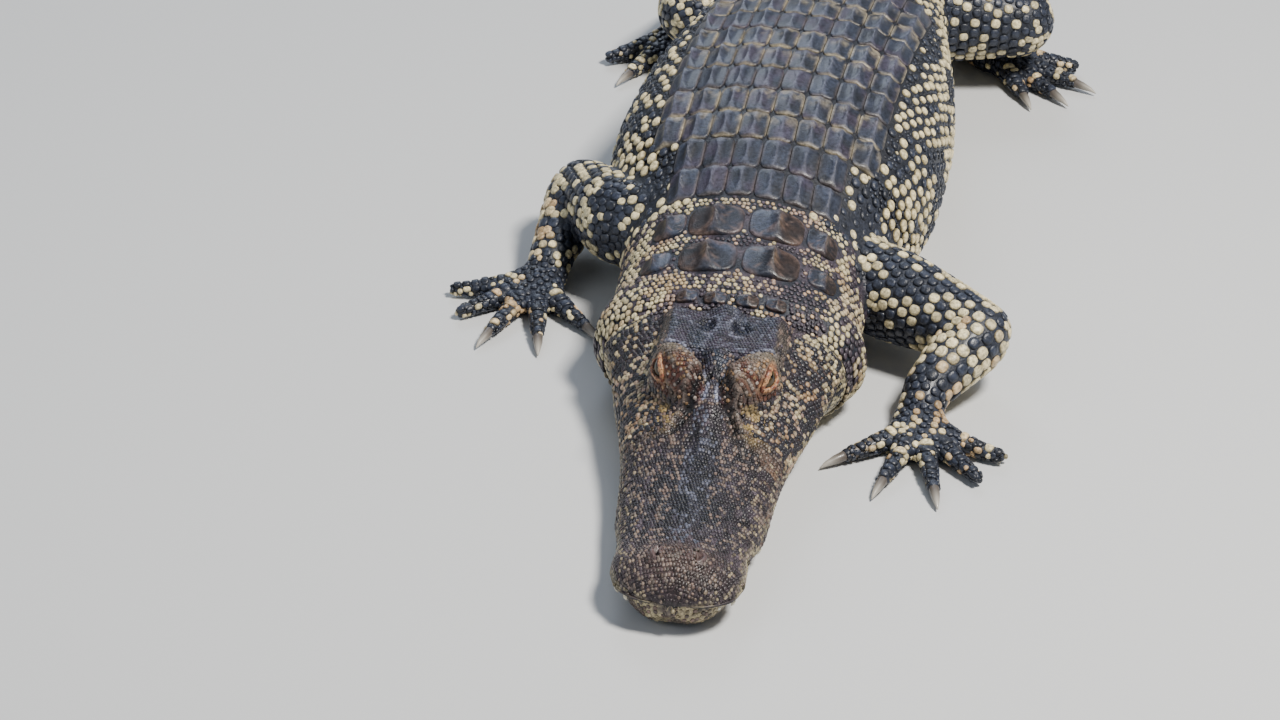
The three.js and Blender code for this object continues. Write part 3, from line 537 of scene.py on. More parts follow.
def head_paint(s, x, z, under):
    """Colour of the head's hide; under is 1 on the lower jaw and the throat."""
    side = np.abs(x) / np.maximum(jaw_half(s), 1)
    n1, n2, n3 = rough(s, x + z, 26, 21), rough(s * 0.5, x + z, 9, 22), rough(s, x + z, 5, 23)
    paint = snout_paint(s, x, z, side, n2, n3)
    paint = with_table(paint, s, x, z, n2, n3)
    paint = with_bumps(paint, s, x, z, n2, n3)
    # A dark line along the slit over the ear: painted shade in the slit
    paint = mix(paint, INK * 0.5, np.exp(-((z - EAR["z"]) / 1.9) ** 4) * ear_share(s, x))
    t, off = brow_line(x, s)
    along = smooth(-0.12, 0.12, t) * (1 - smooth(0.75, 1.1, t))
    paint = mix(paint, GREY * 0.9, 0.7 * np.exp(-(off / 3) ** 2) * along * smooth(0.25, 0.5, n2))
    # The groove before each eye is painted near black: painted shade in the groove
    groove = np.exp(-((off + GROOVE["in"]) / 4.2) ** 2) * smooth(-0.3, 0.0, t) * (1 - smooth(0.75, 1.1, t))
    paint = mix(paint, INK * 0.7, 0.95 * groove)
    edge = smooth(8, 1.5, np.abs(z - mouth(s) - 5)) * smooth(0.8, 0.96, side)
    paint = mix(paint, CREAM * 0.45, edge * smooth(0.35, 0.6, n2) * 0.8)
    lower = mix(CREAM * 0.62, TAN * 0.8, 0.5 * n1)
    paint = mix(paint, mix(lower, PLUM, 0.75 * smooth(0.42, 0.6, n2)), under)
    # A dark line where the jaws meet: painted shade in the gap between the lips
    gap = smooth(2.4, 1.0, np.abs(z - mouth(s) + 0.4)) * (s < 345)
    return mix(paint, INK * 0.5, gap)


# Meshes
def new_object(name, points, faces, slot, paint=None, uv=None, material=None):
    """A mesh object from arrays; faces is an array of triangles or quads, or a list of such arrays."""
    faces = faces if isinstance(faces, list) else [faces]
    mesh = bpy.data.meshes.new(name)
    loops = np.concatenate([f.ravel() for f in faces])
    sizes = np.concatenate([np.full(len(f), f.shape[1]) for f in faces])
    mesh.vertices.add(len(points))
    mesh.loops.add(len(loops))
    mesh.polygons.add(len(sizes))
    mesh.vertices.foreach_set("co", to_world(points).astype(np.float32).ravel())
    mesh.loops.foreach_set("vertex_index", loops.astype(np.int32))
    starts = np.concatenate([[0], np.cumsum(sizes)[:-1]])
    mesh.polygons.foreach_set("loop_start", starts.astype(np.int32))
    mesh.shade_smooth()
    mesh.update(calc_edges=True)
    mesh.validate()
    if paint is not None:
        put_paint(mesh, paint)
    if uv is not None:
        layer = mesh.uv_layers.new(name="OFBake")
        layer.data.foreach_set("uv", uv[loops].astype(np.float32).ravel())
    if material:
        mesh.materials.append(material)
    obj = linked(name, mesh)
    if slot:
        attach(obj, "root")
    return obj


def linked(name, data):
    """An object for a mesh, light or camera, put into the scene."""
    obj = bpy.data.objects.new(name, data)
    bpy.context.scene.collection.objects.link(obj)
    return obj


def put_paint(mesh, paint):
    """One linear colour for each point of the mesh."""
    layer = mesh.color_attributes.new("paint", "FLOAT_COLOR", "POINT")
    rgba = np.concatenate([paint, np.ones((len(paint), 1))], 1)
    layer.data.foreach_set("color", rgba.astype(np.float32).ravel())


def grid_faces(rows, columns, closed):
    """Quads over a grid of rows of points, each row closed round or open."""
    k = np.arange(columns if closed else columns - 1)
    r = np.arange(rows - 1)[:, None]
    a = r * columns + k
    b = r * columns + (k + 1) % columns
    return np.stack([a, b, b + columns, a + columns], -1).reshape(-1, 4)


def outward(points, faces):
    """Turns the faces round if they point inwards."""
    tri = faces[:, :3]
    a, b, c = points[tri[:, 0]], points[tri[:, 1]], points[tri[:, 2]]
    return faces if np.sum(a * np.cross(b, c)) > 0 else faces[:, ::-1]


# Materials
GRAIN_DEPTH = 0.0006


def with_inputs(node, values):
    for socket, value in values.items():
        node.inputs[socket].default_value = value
    return node


def added(tree, kind, values, joined_to):
    """A new shader node with its sockets set to values or joined to other sockets."""
    node = with_inputs(tree.nodes.new(kind), values)
    for socket, source in joined_to.items():
        tree.links.new(source, node.inputs[socket])
    return node


def new_material(name, values):
    """A material, and its shader with the given values."""
    material = bpy.data.materials.new(name)
    material.use_nodes = True
    return material, with_inputs(material.node_tree.nodes["Principled BSDF"], values)


def painted(name, values):
    """A material that shows the painted colour, and its shader."""
    material, shader = new_material(name, values)
    paint = material.node_tree.nodes.new("ShaderNodeAttribute")
    paint.attribute_name = "paint"
    material.node_tree.links.new(paint.outputs["Color"], shader.inputs["Base Color"])
    return material, shader


def hide_material(name, roughness, flecks, contrast, grain, strength):
    """Wet hide: the painted colour broken up by flecks, with fine grain in the relief."""
    material, shader = painted(name, {"Coat Weight": 0.1, "Coat Roughness": 0.14, "Specular IOR Level": 0.4})
    tree = material.node_tree
    where = tree.nodes.new("ShaderNodeTexCoord").outputs["Object"]
    stretch = added(tree, "ShaderNodeMapping", {"Scale": flecks}, {"Vector": where})
    fleck = added(tree, "ShaderNodeTexNoise", {"Scale": 1, "Detail": 4, "Roughness": 0.62},
                  {"Vector": stretch.outputs["Vector"]}).outputs["Fac"]
    span = {"From Min": 0.36, "From Max": 0.66, "To Min": contrast[0], "To Max": contrast[1]}
    span = added(tree, "ShaderNodeMapRange", span, {"Value": fleck})
    shade = tree.nodes.new("ShaderNodeVectorMath")
    shade.operation = "SCALE"
    tree.links.new(span.outputs["Result"], shade.inputs["Scale"])
    tree.links.new(shader.inputs["Base Color"].links[0].from_socket, shade.inputs[0])
    tree.links.new(shade.outputs["Vector"], shader.inputs["Base Color"])
    gloss = added(tree, "ShaderNodeMapRange", {"To Min": roughness - 0.08, "To Max": roughness + 0.14},
                  {"Value": fleck})
    tree.links.new(gloss.outputs["Result"], shader.inputs["Roughness"])
    pebbles = added(tree, "ShaderNodeTexVoronoi", {"Scale": grain}, {"Vector": where})
    bump = added(tree, "ShaderNodeBump", {"Strength": strength, "Distance": GRAIN_DEPTH},
                 {"Height": pebbles.outputs["Distance"]})
    bump.invert = True
    wrinkle = added(tree, "ShaderNodeBump", {"Strength": strength * 0.8, "Distance": GRAIN_DEPTH},
                    {"Height": fleck, "Normal": bump.outputs["Normal"]})
    tree.links.new(wrinkle.outputs["Normal"], shader.inputs["Normal"])
    return material


HIDE = hide_material("wet hide", 0.46, (420, 420, 420), (0.55, 1.5), 420, 0.6)
SCALE = hide_material("wet scales", 0.38, (300, 300, 300), (0.55, 1.5), 700, 0.4)
LID_HIDE = hide_material("wet face", 0.42, (700, 330, 700), (0.35, 1.9), 620, 0.5)
HORN = painted("horn", {"Roughness": 0.42, "Coat Weight": 0.1})[0]
EYEBALL = painted("eyeball", {"Roughness": 0.14, "Coat Weight": 0.1, "Specular IOR Level": 0.3})[0]

rng = np.random.default_rng(7)


# The coat: each scale is a closed stack of rings, set on the sheet or on the skin
def scale_outline(profile, around, corner):
    """Shares of the half length and half width, and the level, for each point of one scale."""
    angle = 2 * math.pi * np.arange(around) / around
    size = np.array([p[0] for p in profile])[:, None]
    a, b = (np.append(size * np.sign(way) * np.abs(way) ** (2 / corner), [0, 0])
            for way in (np.cos(angle), np.sin(angle)))
    return a, b, np.append(np.repeat([p[1] for p in profile], around), [1.0, profile[0][1]])


def scale_shells(count, rings, around):
    """Quads and triangles of equal stacks of rings, each closed by a point above and one below."""
    ring = np.arange(around)
    after = (ring + 1) % around
    last = (rings - 1) * around
    up = np.stack([last + ring, last + after, np.full(around, rings * around)], -1)
    down = np.stack([after, ring, np.full(around, rings * around + 1)], -1)
    shift = (np.arange(count) * (rings * around + 2))[:, None, None]
    return [(faces + shift).reshape(-1, faces.shape[1])
            for faces in (grid_faces(rings, around, True), np.concatenate([up, down]))]


# Half the width of a scale's patch of the map
PATCH = 0.0015


def patch_uv(root, along, across):
    """Each scale's root on the unwrapped skin, in millimetres, and its small patch of the map round it."""
    patch = PATCH * np.stack(np.broadcast_arrays(along, across), -1)
    return np.broadcast_arrays(root[:, None, :], patch)


def fit_map(roots, patches):
    """Brings the roots of one piece into the map with their shape kept, and adds the patches."""
    low = roots.min(0)
    scale = 0.98 / max(float(np.max(roots.max(0) - low)), 1e-6)
    return 0.01 + (roots - low) * scale + patches


def sheet_scales(sheet, s, v, long, wide, relief, shape):
    """Scales that bend with a sheet: their shells, and the shares and level of the points of each.

    relief(a, b) gives the height at shares of the half length and half width.
    """
    profile, around, _ = shape
    a, b, level = scale_outline(*shape)
    ps = s[:, None] + a * long[:, None] / 2
    pv = v[:, None] + b * wide[:, None] / 2
    height = np.where(level < 0, level, level * relief(a[None, :], b[None, :]))
    points = sheet(ps, pv) + normal_of(sheet, ps, pv) * height[..., None]
    points[..., 2] = np.maximum(points[..., 2], 0)
    quads, tris = scale_shells(len(s), len(profile), around)
    patch = patch_uv(np.stack([s, v], 1), a[None, :], b[None, :])
    return (points, quads, tris, patch), a, b, level


def build_coat(name, parts, slot="skin", material=SCALE):
    """Joins sets of scales into one piece. Each set is (points, quads, tris, (root, patch), paint)."""
    shifts = np.cumsum([0] + [part[0].size // 3 for part in parts])
    points, paint = (np.concatenate([part[k].reshape(-1, 3) for part in parts]) for k in (0, 4))
    quads, tris = (np.concatenate([part[k] + shift for part, shift in zip(parts, shifts)]) for k in (1, 2))
    roots, patches = (np.concatenate([part[3][k].reshape(-1, 2) for part in parts]) for k in (0, 1))
    assert 2 * len(quads) + len(tris) < MOST_TRIANGLES, name
    new_object(name, points, [quads, tris], slot, paint, fit_map(roots, patches), material)


def keeled(keel, rear=0.45, crease=0.16):
    """Height of a keeled plate: a low body with a ridge that rises to the rear."""
    def relief(a, b):
        rise = np.clip(0.35 + 0.65 * (a + 1) / (1 + rear), 0, 1)
        ridge = rise * np.clip((1.02 - a) / (1 - rear), 0, 1) ** 0.6
        body = PLATE["edge"] * (1 - 0.12 * b * b - 0.12 * a * a)
        slope = np.clip(1 - np.abs(b) / 0.9, 0, 1) ** 2
        return body + keel * ridge * (0.25 * slope + 0.7 * np.exp(-np.abs(b / crease) ** 1.3))
    return relief


# Profiles of scales: shares of their size and height, from the foot up
PLATE_PROFILE = [(1.0, -3.0), (1.0, 0.1), (0.985, 0.7), (0.93, 0.97), (0.76, 1.0), (0.52, 1.0), (0.3, 1.0),
                 (0.12, 1.0)]
BEAD_PROFILE = [(1.0, -2.0), (1.0, 0.15), (0.86, 0.7), (0.5, 1.0)]
GRAIN_PROFILE = [(1.0, -1.8), (1.0, 0.2), (0.66, 0.9)]
TILE_PROFILE = [(1.0, -1.5), (1.0, 0.1), (0.94, 0.85), (0.6, 1.0)]
LIMB_PROFILE = [(1.0, -1.8), (1.0, 0.35), (0.84, 0.88), (0.45, 1.0)]
# Shapes of scales: the profile, the points round it, and how square it is
BACK_PLATE = (PLATE_PROFILE, 32, 5.0)
RUMP_PLATE = (PLATE_PROFILE, 28, 5.0)
NAPE_PLATE = (PLATE_PROFILE, 36, 3.4)
NAPE_GRAIN = (BEAD_PROFILE, 8, 2.1)
NECK_BEAD = (BEAD_PROFILE, 10, 2.1)
FLANK_DOME = (BEAD_PROFILE, 12, 2.2)
FLANK_GRAIN = (GRAIN_PROFILE, 7, 2.0)
TAIL_TILE = (TILE_PROFILE, 20, 4.0)
BELLY_TILE = (TILE_PROFILE, 16, 4.5)
LIMB_SCALE = (LIMB_PROFILE, 12, 2.5)
FOLD_GRAIN = (GRAIN_PROFILE, 8, 2.2)
CHEEK_GRAIN = (GRAIN_PROFILE, 8, 2.4)
FACE_GRAIN = (GRAIN_PROFILE, 7, 2.3)
FILL_GRAIN = (GRAIN_PROFILE, 7, 2.2)
# Where pale bands cross the back
BANDS = [668, 790, 905, 1030, 1150, 1262]


def plate(s, x, long, wide, relief, shape):
    """One plate on the back: its shell, and the shares of its half length and half width."""
    one = [np.array([float(value)]) for value in (s, x, long, wide)]
    return sheet_scales(on_back, *one, relief, shape)[:3]


def plate_parts():
    """The keeled plates of the back, in rows that narrow towards the neck and the hips."""
    parts = []
    for row in range(ROWS):
        middle = NECK_END + ROW * (row + 0.5)
        count = int(round(float(shield(middle)) / PLATE["width"]))
        for k, side in product(range(count), (-1, 1)):
            s, x = middle + rng.uniform(-1.2, 1.2), side * PLATE["width"] * (k + 0.5)
            keel = PLATE["keel"] * (0.55 + 1.0 * k / count) * rng.uniform(0.75, 1.25)
            wide = PLATE["width"] * rng.uniform(0.98, 1.0)
            shell, a, b = plate(s, x, ROW * rng.uniform(0.97, 1.0), wide, keeled(keel), BACK_PLATE)
            parts.append((*shell, plate_paint(s, x, a, b)))
    return parts


def plate_paint(s, x, a, b):
    """Slate with a pale stripe along the keel and a pale rim, paler on the bands across the back."""
    here, there = s + 17 * a, x + 13 * b
    dark = mix(INK * 1.2, SLATE * 0.95, noise(here, there, 11, 31))
    dark = mix(dark, VIOLET * 0.9, 0.6 * smooth(0.5, 0.8, noise(here, there, 16, 32)))
    band = max(math.exp(-((s - at) / 24) ** 2) for at in BANDS)
    rim = smooth(0.86, 1.0, np.maximum(np.abs(a), np.abs(b)))
    patchy = smooth(0.35, 0.6, noise(here, there, 8, 33))
    rear = smooth(-0.1, 0.7, a)
    spots = smooth(0.5, 0.7, noise(here, there, 6, 34))
    pale = np.clip(rim * 0.30 + 0.8 * band * rim * patchy + 0.6 * band * rear * spots, 0, 1)
    # A pale bluish stripe along the crest of each keel
    keel_stripe = 0.3 * np.exp(-(b / 0.12) ** 2) * (np.abs(a) < 0.85)
    return mix(mix(dark, mix(GREY, CREAM * 0.8, band), pale), FROST, keel_stripe)


# Where each ring of the tail's scales starts, and the middle and length of each
WHORLS = [float(VENT)]
while WHORLS[-1] + float(whorl(WHORLS[-1])) < TAIL_TIP - 12:
    WHORLS.append(WHORLS[-1] + float(whorl(WHORLS[-1])))
WHORL_ROWS = [((start + end) / 2, end - start) for start, end in zip(WHORLS, WHORLS[1:] + [TAIL_TIP - 3])]


def rump_parts():
    """Flat keeled plates of the tail's top, between the two lines of the crest."""
    parts = []
    for middle, step in WHORL_ROWS:
        inner = float(crest_apart(middle)) - 4
        if inner < 5:
            break
        count = max(int(round(inner / 13)), 1)
        for j in range(count):
            x = inner * (2 * (j + 0.5) / count - 1)
            shell, a, b = plate(middle, x, step * 0.985, 2 * inner / count * 0.985, keeled(2.2), RUMP_PLATE)
            dark = mix(INK * 1.2, SLATE * 0.9, noise(middle + 17 * a, x + 13 * b, 11, 35))
            rim = smooth(0.86, 1.0, np.maximum(np.abs(a), np.abs(b)))
            parts.append((*shell, mix(dark, GREY * 0.8, 0.3 * rim)))
    return parts


# The skin
def whole_rings(x, z):
    """Rings round both sides, from the half on the left."""
    return np.concatenate([x, -x[:, -2:0:-1]], 1), np.concatenate([z, z[:, -2:0:-1]], 1)


def main_skin():
    """Skin of head, neck, trunk and tail: fine rings to JOIN and coarse ones behind, stitched together."""
    stations = np.arange(0.6, JOIN + 0.1, HEAD_STEP)
    share = ring_share()
    hx, hz = head_rings(np.minimum(stations, HEAD_END - 0.5))
    bx, bz = body_rings(np.maximum(stations, 381.0), share)
    t = smooth(360, 394, stations)[:, None]
    x, z = whole_rings(hx * (1 - t) + bx * t, hz * (1 - t) + bz * t)
    s = np.broadcast_to(stations[:, None], x.shape)
    front = carve_head(place(s, x, z), s, x, z)
    rear = np.append(np.arange(stations[-1] + 6, TAIL_TIP, BODY_STEP), TAIL_TIP)
    rx, rz = whole_rings(*body_rings(rear, share[::2]))
    points = np.concatenate([front.reshape(-1, 3), place(rear[:, None], rx, rz).reshape(-1, 3)])
    count, few = x.shape[1], rx.shape[1]
    base = len(stations) * count
    quads = np.concatenate([grid_faces(len(stations), count, True), grid_faces(len(rear), few, True) + base])
    k = np.arange(few)
    a, b = base + k, base + (k + 1) % few
    f0, f1, f2 = (base - count + (2 * k + j) % count for j in range(3))
    tris = [np.stack([f0, f1, a, f1, b, a, f1, f2, b], 1).reshape(-1, 3)]
    for ring, turned in ((np.arange(count), True), (len(points) - few + k, False)):
        cap = np.stack([ring, np.roll(ring, -1), np.full(len(ring), len(points))], 1)
        points = np.concatenate([points, points[ring].mean(0, keepdims=True)])
        tris.append(cap[:, ::-1] if turned else cap)
    return points, [quads, np.concatenate(tris)]


def carve_head(points, s, x, z):
    """Sinks the skin under the coat towards the neck and gives the head its relief."""
    n = unit(np.cross(np.roll(points, -1, 1) - np.roll(points, 1, 1), np.gradient(points, axis=0)))
    side = np.abs(x) / np.maximum(jaw_half(s), 1)
    under = z < mouth(s)
    upper = ~under & (s < 385)
    crumple = rough(s, x + z, 9, 41) - 0.5
    fine = rough(s, x + z, 4.5, 45, 2) - 0.5
    dome = across_dome(x, s)
    on_dome = (1 - smooth(0.8, 1.3, dome)) * (z > 90)
    lift = (0.6 + 1.1 * on_dome) * crumple + 0.7 * fine
    wrinkles = rough(s * 0.28, x, 5.5, 47) - 0.5
    snout = smooth(50, 90, s) * (1 - smooth(215, 250, s)) * (1 - smooth(0.7, 0.95, side))
    lift = lift + 2.4 * wrinkles * snout
    near, second = cells(s, x + z, 5.4, 49)
    pebble = np.minimum(second - near, 0.5) * 2
    cheek = smooth(0.55, 0.75, side) * smooth(60, 130, s) + on_dome * 0.8
    lift = lift + 0.75 * pebble * np.clip(cheek, 0, 1)
    rim = np.exp(-((dome - 1.12) / 0.10) ** 2) * smooth(0, 12, s - 268 - 0.9 * (np.abs(x) - 34)) * (z > 96)
    lift = lift + 1.5 * rim - 1.6 * np.exp(-((dome - 0.9) / 0.07) ** 2) * (z > 96)
    pit = pit_share(x, s)
    lift = lift - 3.0 * (1 - smooth(0.3, 1.1, pit)) + 0.9 * np.exp(-((pit - 1.25) / 0.2) ** 2)
    lift = np.where(upper, lift, 0.5 * (rough(s, x, 12, 51) - 0.5))
    top = upper & (z > 45)
    nx = np.abs(x) - NOSTRIL["x"] - 2 + 0.07 * np.clip(s - NOSTRIL["s"], -9, 9) ** 2
    slit = np.hypot(nx / NOSTRIL["wide"], (s - NOSTRIL["s"]) / NOSTRIL["long"])
    lift = lift - np.where(top, NOSTRIL["deep"] * (1 - smooth(0.75, 1.15, slit)), 0)
    lift = lift + np.where(top, 1.1 * np.exp(-((slit - 1.5) / 0.35) ** 2), 0)
    flap, slit = (np.exp(-((z - EAR["z"] - up) / wide) ** 2) for up, wide in ((4, 2.2), (0, 1.9)))
    lift = lift + ear_share(s, x) * (1.8 * flap - 5 * slit)
    out = points + n * lift[..., None]
    for sign in (1, -1):
        out = open_lids(out, sign)
    sink = FACE_COAT + (COAT - FACE_COAT) * smooth(372, 398, s)
    out = out - n * sink[..., None]
    out[..., 2] = np.maximum(out[..., 2], 0)
    return out


def eye_axes(sign):
    """The eyeball's middle, and the ways out of it, up across its slit and along its slit."""
    centre = place(EYE["s"], sign * EYE["x"], EYE["z"])
    out, along = (place(EYE["s"] + ds, sign * (EYE["x"] + dx), EYE["z"] + dz) - centre
                  for dx, ds, dz in (EYE["look"], EYE["slit"]))
    out = unit(out)
    along = unit(along - out * (along @ out))
    over = np.cross(along, out)
    return centre, out, over * np.sign(over[2]), along


def round_slit(points, sign, longer, wider):
    """How far points lie round an eye's slit, 1 at its edge with the margins, and how far before the eye."""
    centre, out, over, along = eye_axes(sign)
    rel = points - centre
    return np.hypot((rel @ along) / (SLIT[0] + longer), (rel @ over) / (SLIT[1] + wider)), rel @ out


def open_lids(points, sign):
    """Draws the lids close round the eyeball, and sinks the skin behind it inside the slit."""
    centre, out, over, along = eye_axes(sign)
    rel = points - centre
    d, a, b = rel @ out, rel @ along, rel @ over
    reach = np.linalg.norm(rel, axis=-1)
    ring = (a / (SLIT[0] + 8)) ** 2 + (b / (SLIT[1] + 8)) ** 2
    hold = smooth(1.0, 0.45, ring) * smooth(0, 6, d) * (reach < 30)
    close = np.minimum(reach, EYE["radius"] + 2.2)
    reach_now = reach * (1 - hold) + close * hold
    t = np.clip(np.abs(a) / SLIT[0], 0, 1)
    opening = (SLIT[1] - 1.5) * (1 - t ** 2) ** 0.65
    inside = (d > 0) & (np.abs(a) < SLIT[0] - 1.5) & (np.abs(b) < opening) & (d < 30)
    sunk, held = np.minimum(reach_now, EYE["radius"] - 2.5), np.maximum(reach_now, EYE["radius"] + 1.8)
    reach_now = np.where(inside, sunk, held)
    return centre + rel * (reach_now / np.maximum(reach, 1e-6))[..., None]


def tube_faces(rings, around):
    """Triangles of a stack of rings closed by a point at each end; these two come after the rings."""
    k = np.arange(around)
    after, base = (k + 1) % around, (rings - 1) * around
    quads = grid_faces(rings, around, True)
    start = np.stack([after, k, np.full(around, rings * around)], 1)
    end = np.stack([base + k, base + after, np.full(around, rings * around + 1)], 1)
    return np.concatenate([quads[:, [0, 1, 2]], quads[:, [0, 2, 3]], start, end])


def tube_points(path, radii, sides, flat=1.0):
    """A closed tube along a path, with its faces."""
    way = unit(np.gradient(path, axis=0))
    across = unit(np.cross(way, [0, 0, 1.0]))
    over = np.cross(across, way)
    angle = 2 * math.pi * np.arange(sides)[:, None] / sides
    ring = across[:, None] * np.cos(angle) + flat * over[:, None] * np.sin(angle)
    ring = path[:, None] + np.asarray(radii)[:, None, None] * ring
    points = np.concatenate([ring.reshape(-1, 3), path[:1], path[-1:]])
    return points, outward(points - points.mean(0), tube_faces(len(path), sides))


def joined(solids):
    """Points and faces of several solids as one."""
    shifts = np.cumsum([0] + [len(points) for points, _ in solids])
    faces = [faces + shift for (_, faces), shift in zip(solids, shifts)]
    return np.concatenate([points for points, _ in solids]), np.concatenate(faces)


def ball_points(centre, radius):
    angle = np.linspace(0, math.pi, 13)[1:-1]
    path = centre + np.outer(-np.cos(angle) * radius, [0, 1.0, 0])
    return tube_points(path, np.sin(angle) * radius, 20)


def toe_way(limb, degrees):
    _, side, aim, joints = LIMBS[limb]
    angle = math.radians(side * (aim + degrees) + float(turn(joints[-1][0])))
    return np.array([math.sin(angle), -math.cos(angle), 0])


def toe_path(limb, toe):
    """Root, knuckle, joint and tip of a toe."""
    foot, _, _, joints = LIMBS[limb]
    degrees, length = foot["toes"][toe]
    ankle = place(*joints[-1]) * [1, 1, 0]
    knuckle = ankle + toe_way(limb, degrees * 0.55) * foot["palm"]
    way = toe_way(limb, degrees)
    start = ankle + (knuckle - ankle) * 0.45
    path = np.array([start] + [knuckle + way * length * f for f in (0, 0.5, 1)])
    path[:, 2] = foot["radius"] * np.array([1.5, 1.35, 1.05, 0.84])
    return path


def densify(path, radii, steps):
    t = np.linspace(0, len(path) - 1, steps)
    k = np.arange(len(path))
    return np.stack([np.interp(t, k, path[:, i]) for i in range(3)], 1), np.interp(t, k, radii)


def limb_tubes(limb):
    """The tubes a limb is made of: (path, radii, flatness, part)."""
    kind, _, _, joints = LIMBS[limb]
    at, radii = np.array([place(*joint) for joint in joints]), kind["radii"]
    tubes = []
    for first, last, part in ((0, 2, "upper"), (2, 3, "lower")):
        path, sizes = [], []
        for i in range(first, last):
            for t in np.linspace(0, 1, 9)[i > first:]:
                path.append(at[i] * (1 - t) + at[i + 1] * t)
                sizes.append(radii[i] * (1 - t) + radii[i + 1] * t + 3 * math.sin(math.pi * math.sqrt(t)))
        tubes.append((np.array(path), np.array(sizes), 1.0, part))
    tubes.append((*densify(at[3:], radii[3:], 6), 1.0, "wrist"))
    toes = [toe_path(limb, k) for k in range(len(kind["toes"]))]
    ankle, middle = at[4], np.mean([path[1] for path in toes], axis=0)
    palm = np.array([ankle - (middle - ankle) * 0.25, ankle, (ankle + middle) / 2, middle])
    palm[:, 2] = [13, 15, 13, 9]
    tubes.append((*densify(palm, np.array([0.55, 0.85, 1, 0.8]) * kind["half"], 10), 0.62, "palm"))
    for path in toes:
        tubes.append((*densify(path, kind["radius"] * np.array([1.25, 1.2, 0.95, 0.66]), 14), 1.0, "toe"))
    return tubes


def web_points(limb, toe):
    """The web between a toe and the next."""
    a, b = toe_path(limb, toe), toe_path(limb, toe + 1)
    tip_a, tip_b = (path[1] + (path[3] - path[1]) * LIMBS[limb][0]["web"] for path in (a, b))
    notch = (tip_a + tip_b) / 2 * 0.65 + (a[1] + b[1]) / 2 * 0.35
    outline = np.array([a[0], tip_a, notch, tip_b, b[0]])
    points = np.concatenate([outline, outline])
    points[:, 2] = np.repeat([0.5, 5.0], 5)
    k = np.arange(5)
    n = (k + 1) % 5
    walls = np.concatenate([np.stack([k, n, n + 5], 1), np.stack([k, n + 5, k + 5], 1)])
    caps = np.array([[0, j + 1, j] for j in range(1, 4)] + [[5, 5 + j, 6 + j] for j in range(1, 4)])
    return points, outward(points - points.mean(0), np.concatenate([walls, caps]))


def evaluated(obj):
    """The object's mesh with its modifiers applied; the object is then removed."""
    graph = bpy.context.evaluated_depsgraph_get()
    mesh = bpy.data.meshes.new_from_object(obj.evaluated_get(graph))
    bpy.data.objects.remove(obj)
    return mesh


def points_of(mesh):
    points = np.empty(len(mesh.vertices) * 3, np.float32)
    mesh.vertices.foreach_get("co", points)
    return points.reshape(-1, 3).astype(float) / MM - SHIFT


def set_points(mesh, points):
    mesh.vertices.foreach_set("co", to_world(points).astype(np.float32).ravel())
    mesh.update()


def relax(points, edges, weight, rounds):
    """Moves points towards the mean of their neighbours, by their weight."""
    count = np.zeros(len(points))
    np.add.at(count, edges.ravel(), 1)
    for _ in range(rounds):
        total = np.zeros_like(points)
        np.add.at(total, edges[:, 0], points[edges[:, 1]])
        np.add.at(total, edges[:, 1], points[edges[:, 0]])
        mean = total / np.maximum(count, 1)[:, None]
        points = points + (mean - points) * (weight * 0.5)[:, None]
    return points


def edges_of(mesh):
    edges = np.empty(len(mesh.edges) * 2, np.int32)
    mesh.edges.foreach_get("vertices", edges)
    return edges.reshape(-1, 2)


def limb_object(limb):
    """One limb as a closed mesh of even squares, from its tubes."""
    kind, _, _, joints = LIMBS[limb]
    solids = [tube_points(path, sizes - COAT * 0.6, 24, flat) for path, sizes, flat, _ in limb_tubes(limb)]
    solids += [ball_points(place(*joints[k]), kind["radii"][k] - COAT) for k in (2, 3)]
    solids += [web_points(limb, k) for k in range(len(kind["toes"]) - 1)]
    obj = new_object(limb + " rough", *joined(solids), None)
    remesh = obj.modifiers.new("even", "REMESH")
    remesh.mode = "VOXEL"
    remesh.voxel_size = LIMB_VOXEL * MM
    mesh = evaluated(obj)
    points = relax(points_of(mesh), edges_of(mesh), np.ones(len(mesh.vertices)), 5)
    points[:, 2] = np.maximum(points[:, 2], 0.3)
    set_points(mesh, points)
    return linked(limb + " limb", mesh)


def joined_skin():
    """The main skin with the limbs joined to it, and a tree of the main skin alone."""
    points, faces = main_skin()
    skin = new_object("skin", points, faces, None)
    trunk = BVHTree.FromPolygons([Vector(p) for p in points], [q.vertices for q in skin.data.polygons])
    limbs = [limb_object(limb) for limb in LIMBS]
    for limb in limbs:
        union = skin.modifiers.new(limb.name, "BOOLEAN")
        union.operation = "UNION"
        union.solver = "MANIFOLD"
        union.object = limb
    mesh = evaluated(skin)
    for limb in limbs:
        bpy.data.objects.remove(limb)
    return mesh, trunk


def section_share(s, x, z):
    """How far round the body a point lies, from 0 at the top to 1 under the belly."""
    across = np.minimum(np.abs(x) / half_width(s), 1) ** (square(s) / 2)
    high = z > waist(s)
    up = np.where(high, (z - waist(s)) / (back(s) - waist(s)), (waist(s) - z) / (waist(s) + BELLY_SAG))
    up = np.clip(up, 0, 1) ** np.where(high, square(s) / 2, BELLY_SQUARE / 2)
    angle = np.arctan2(across, up)
    return np.where(high, angle, math.pi - angle) / math.pi


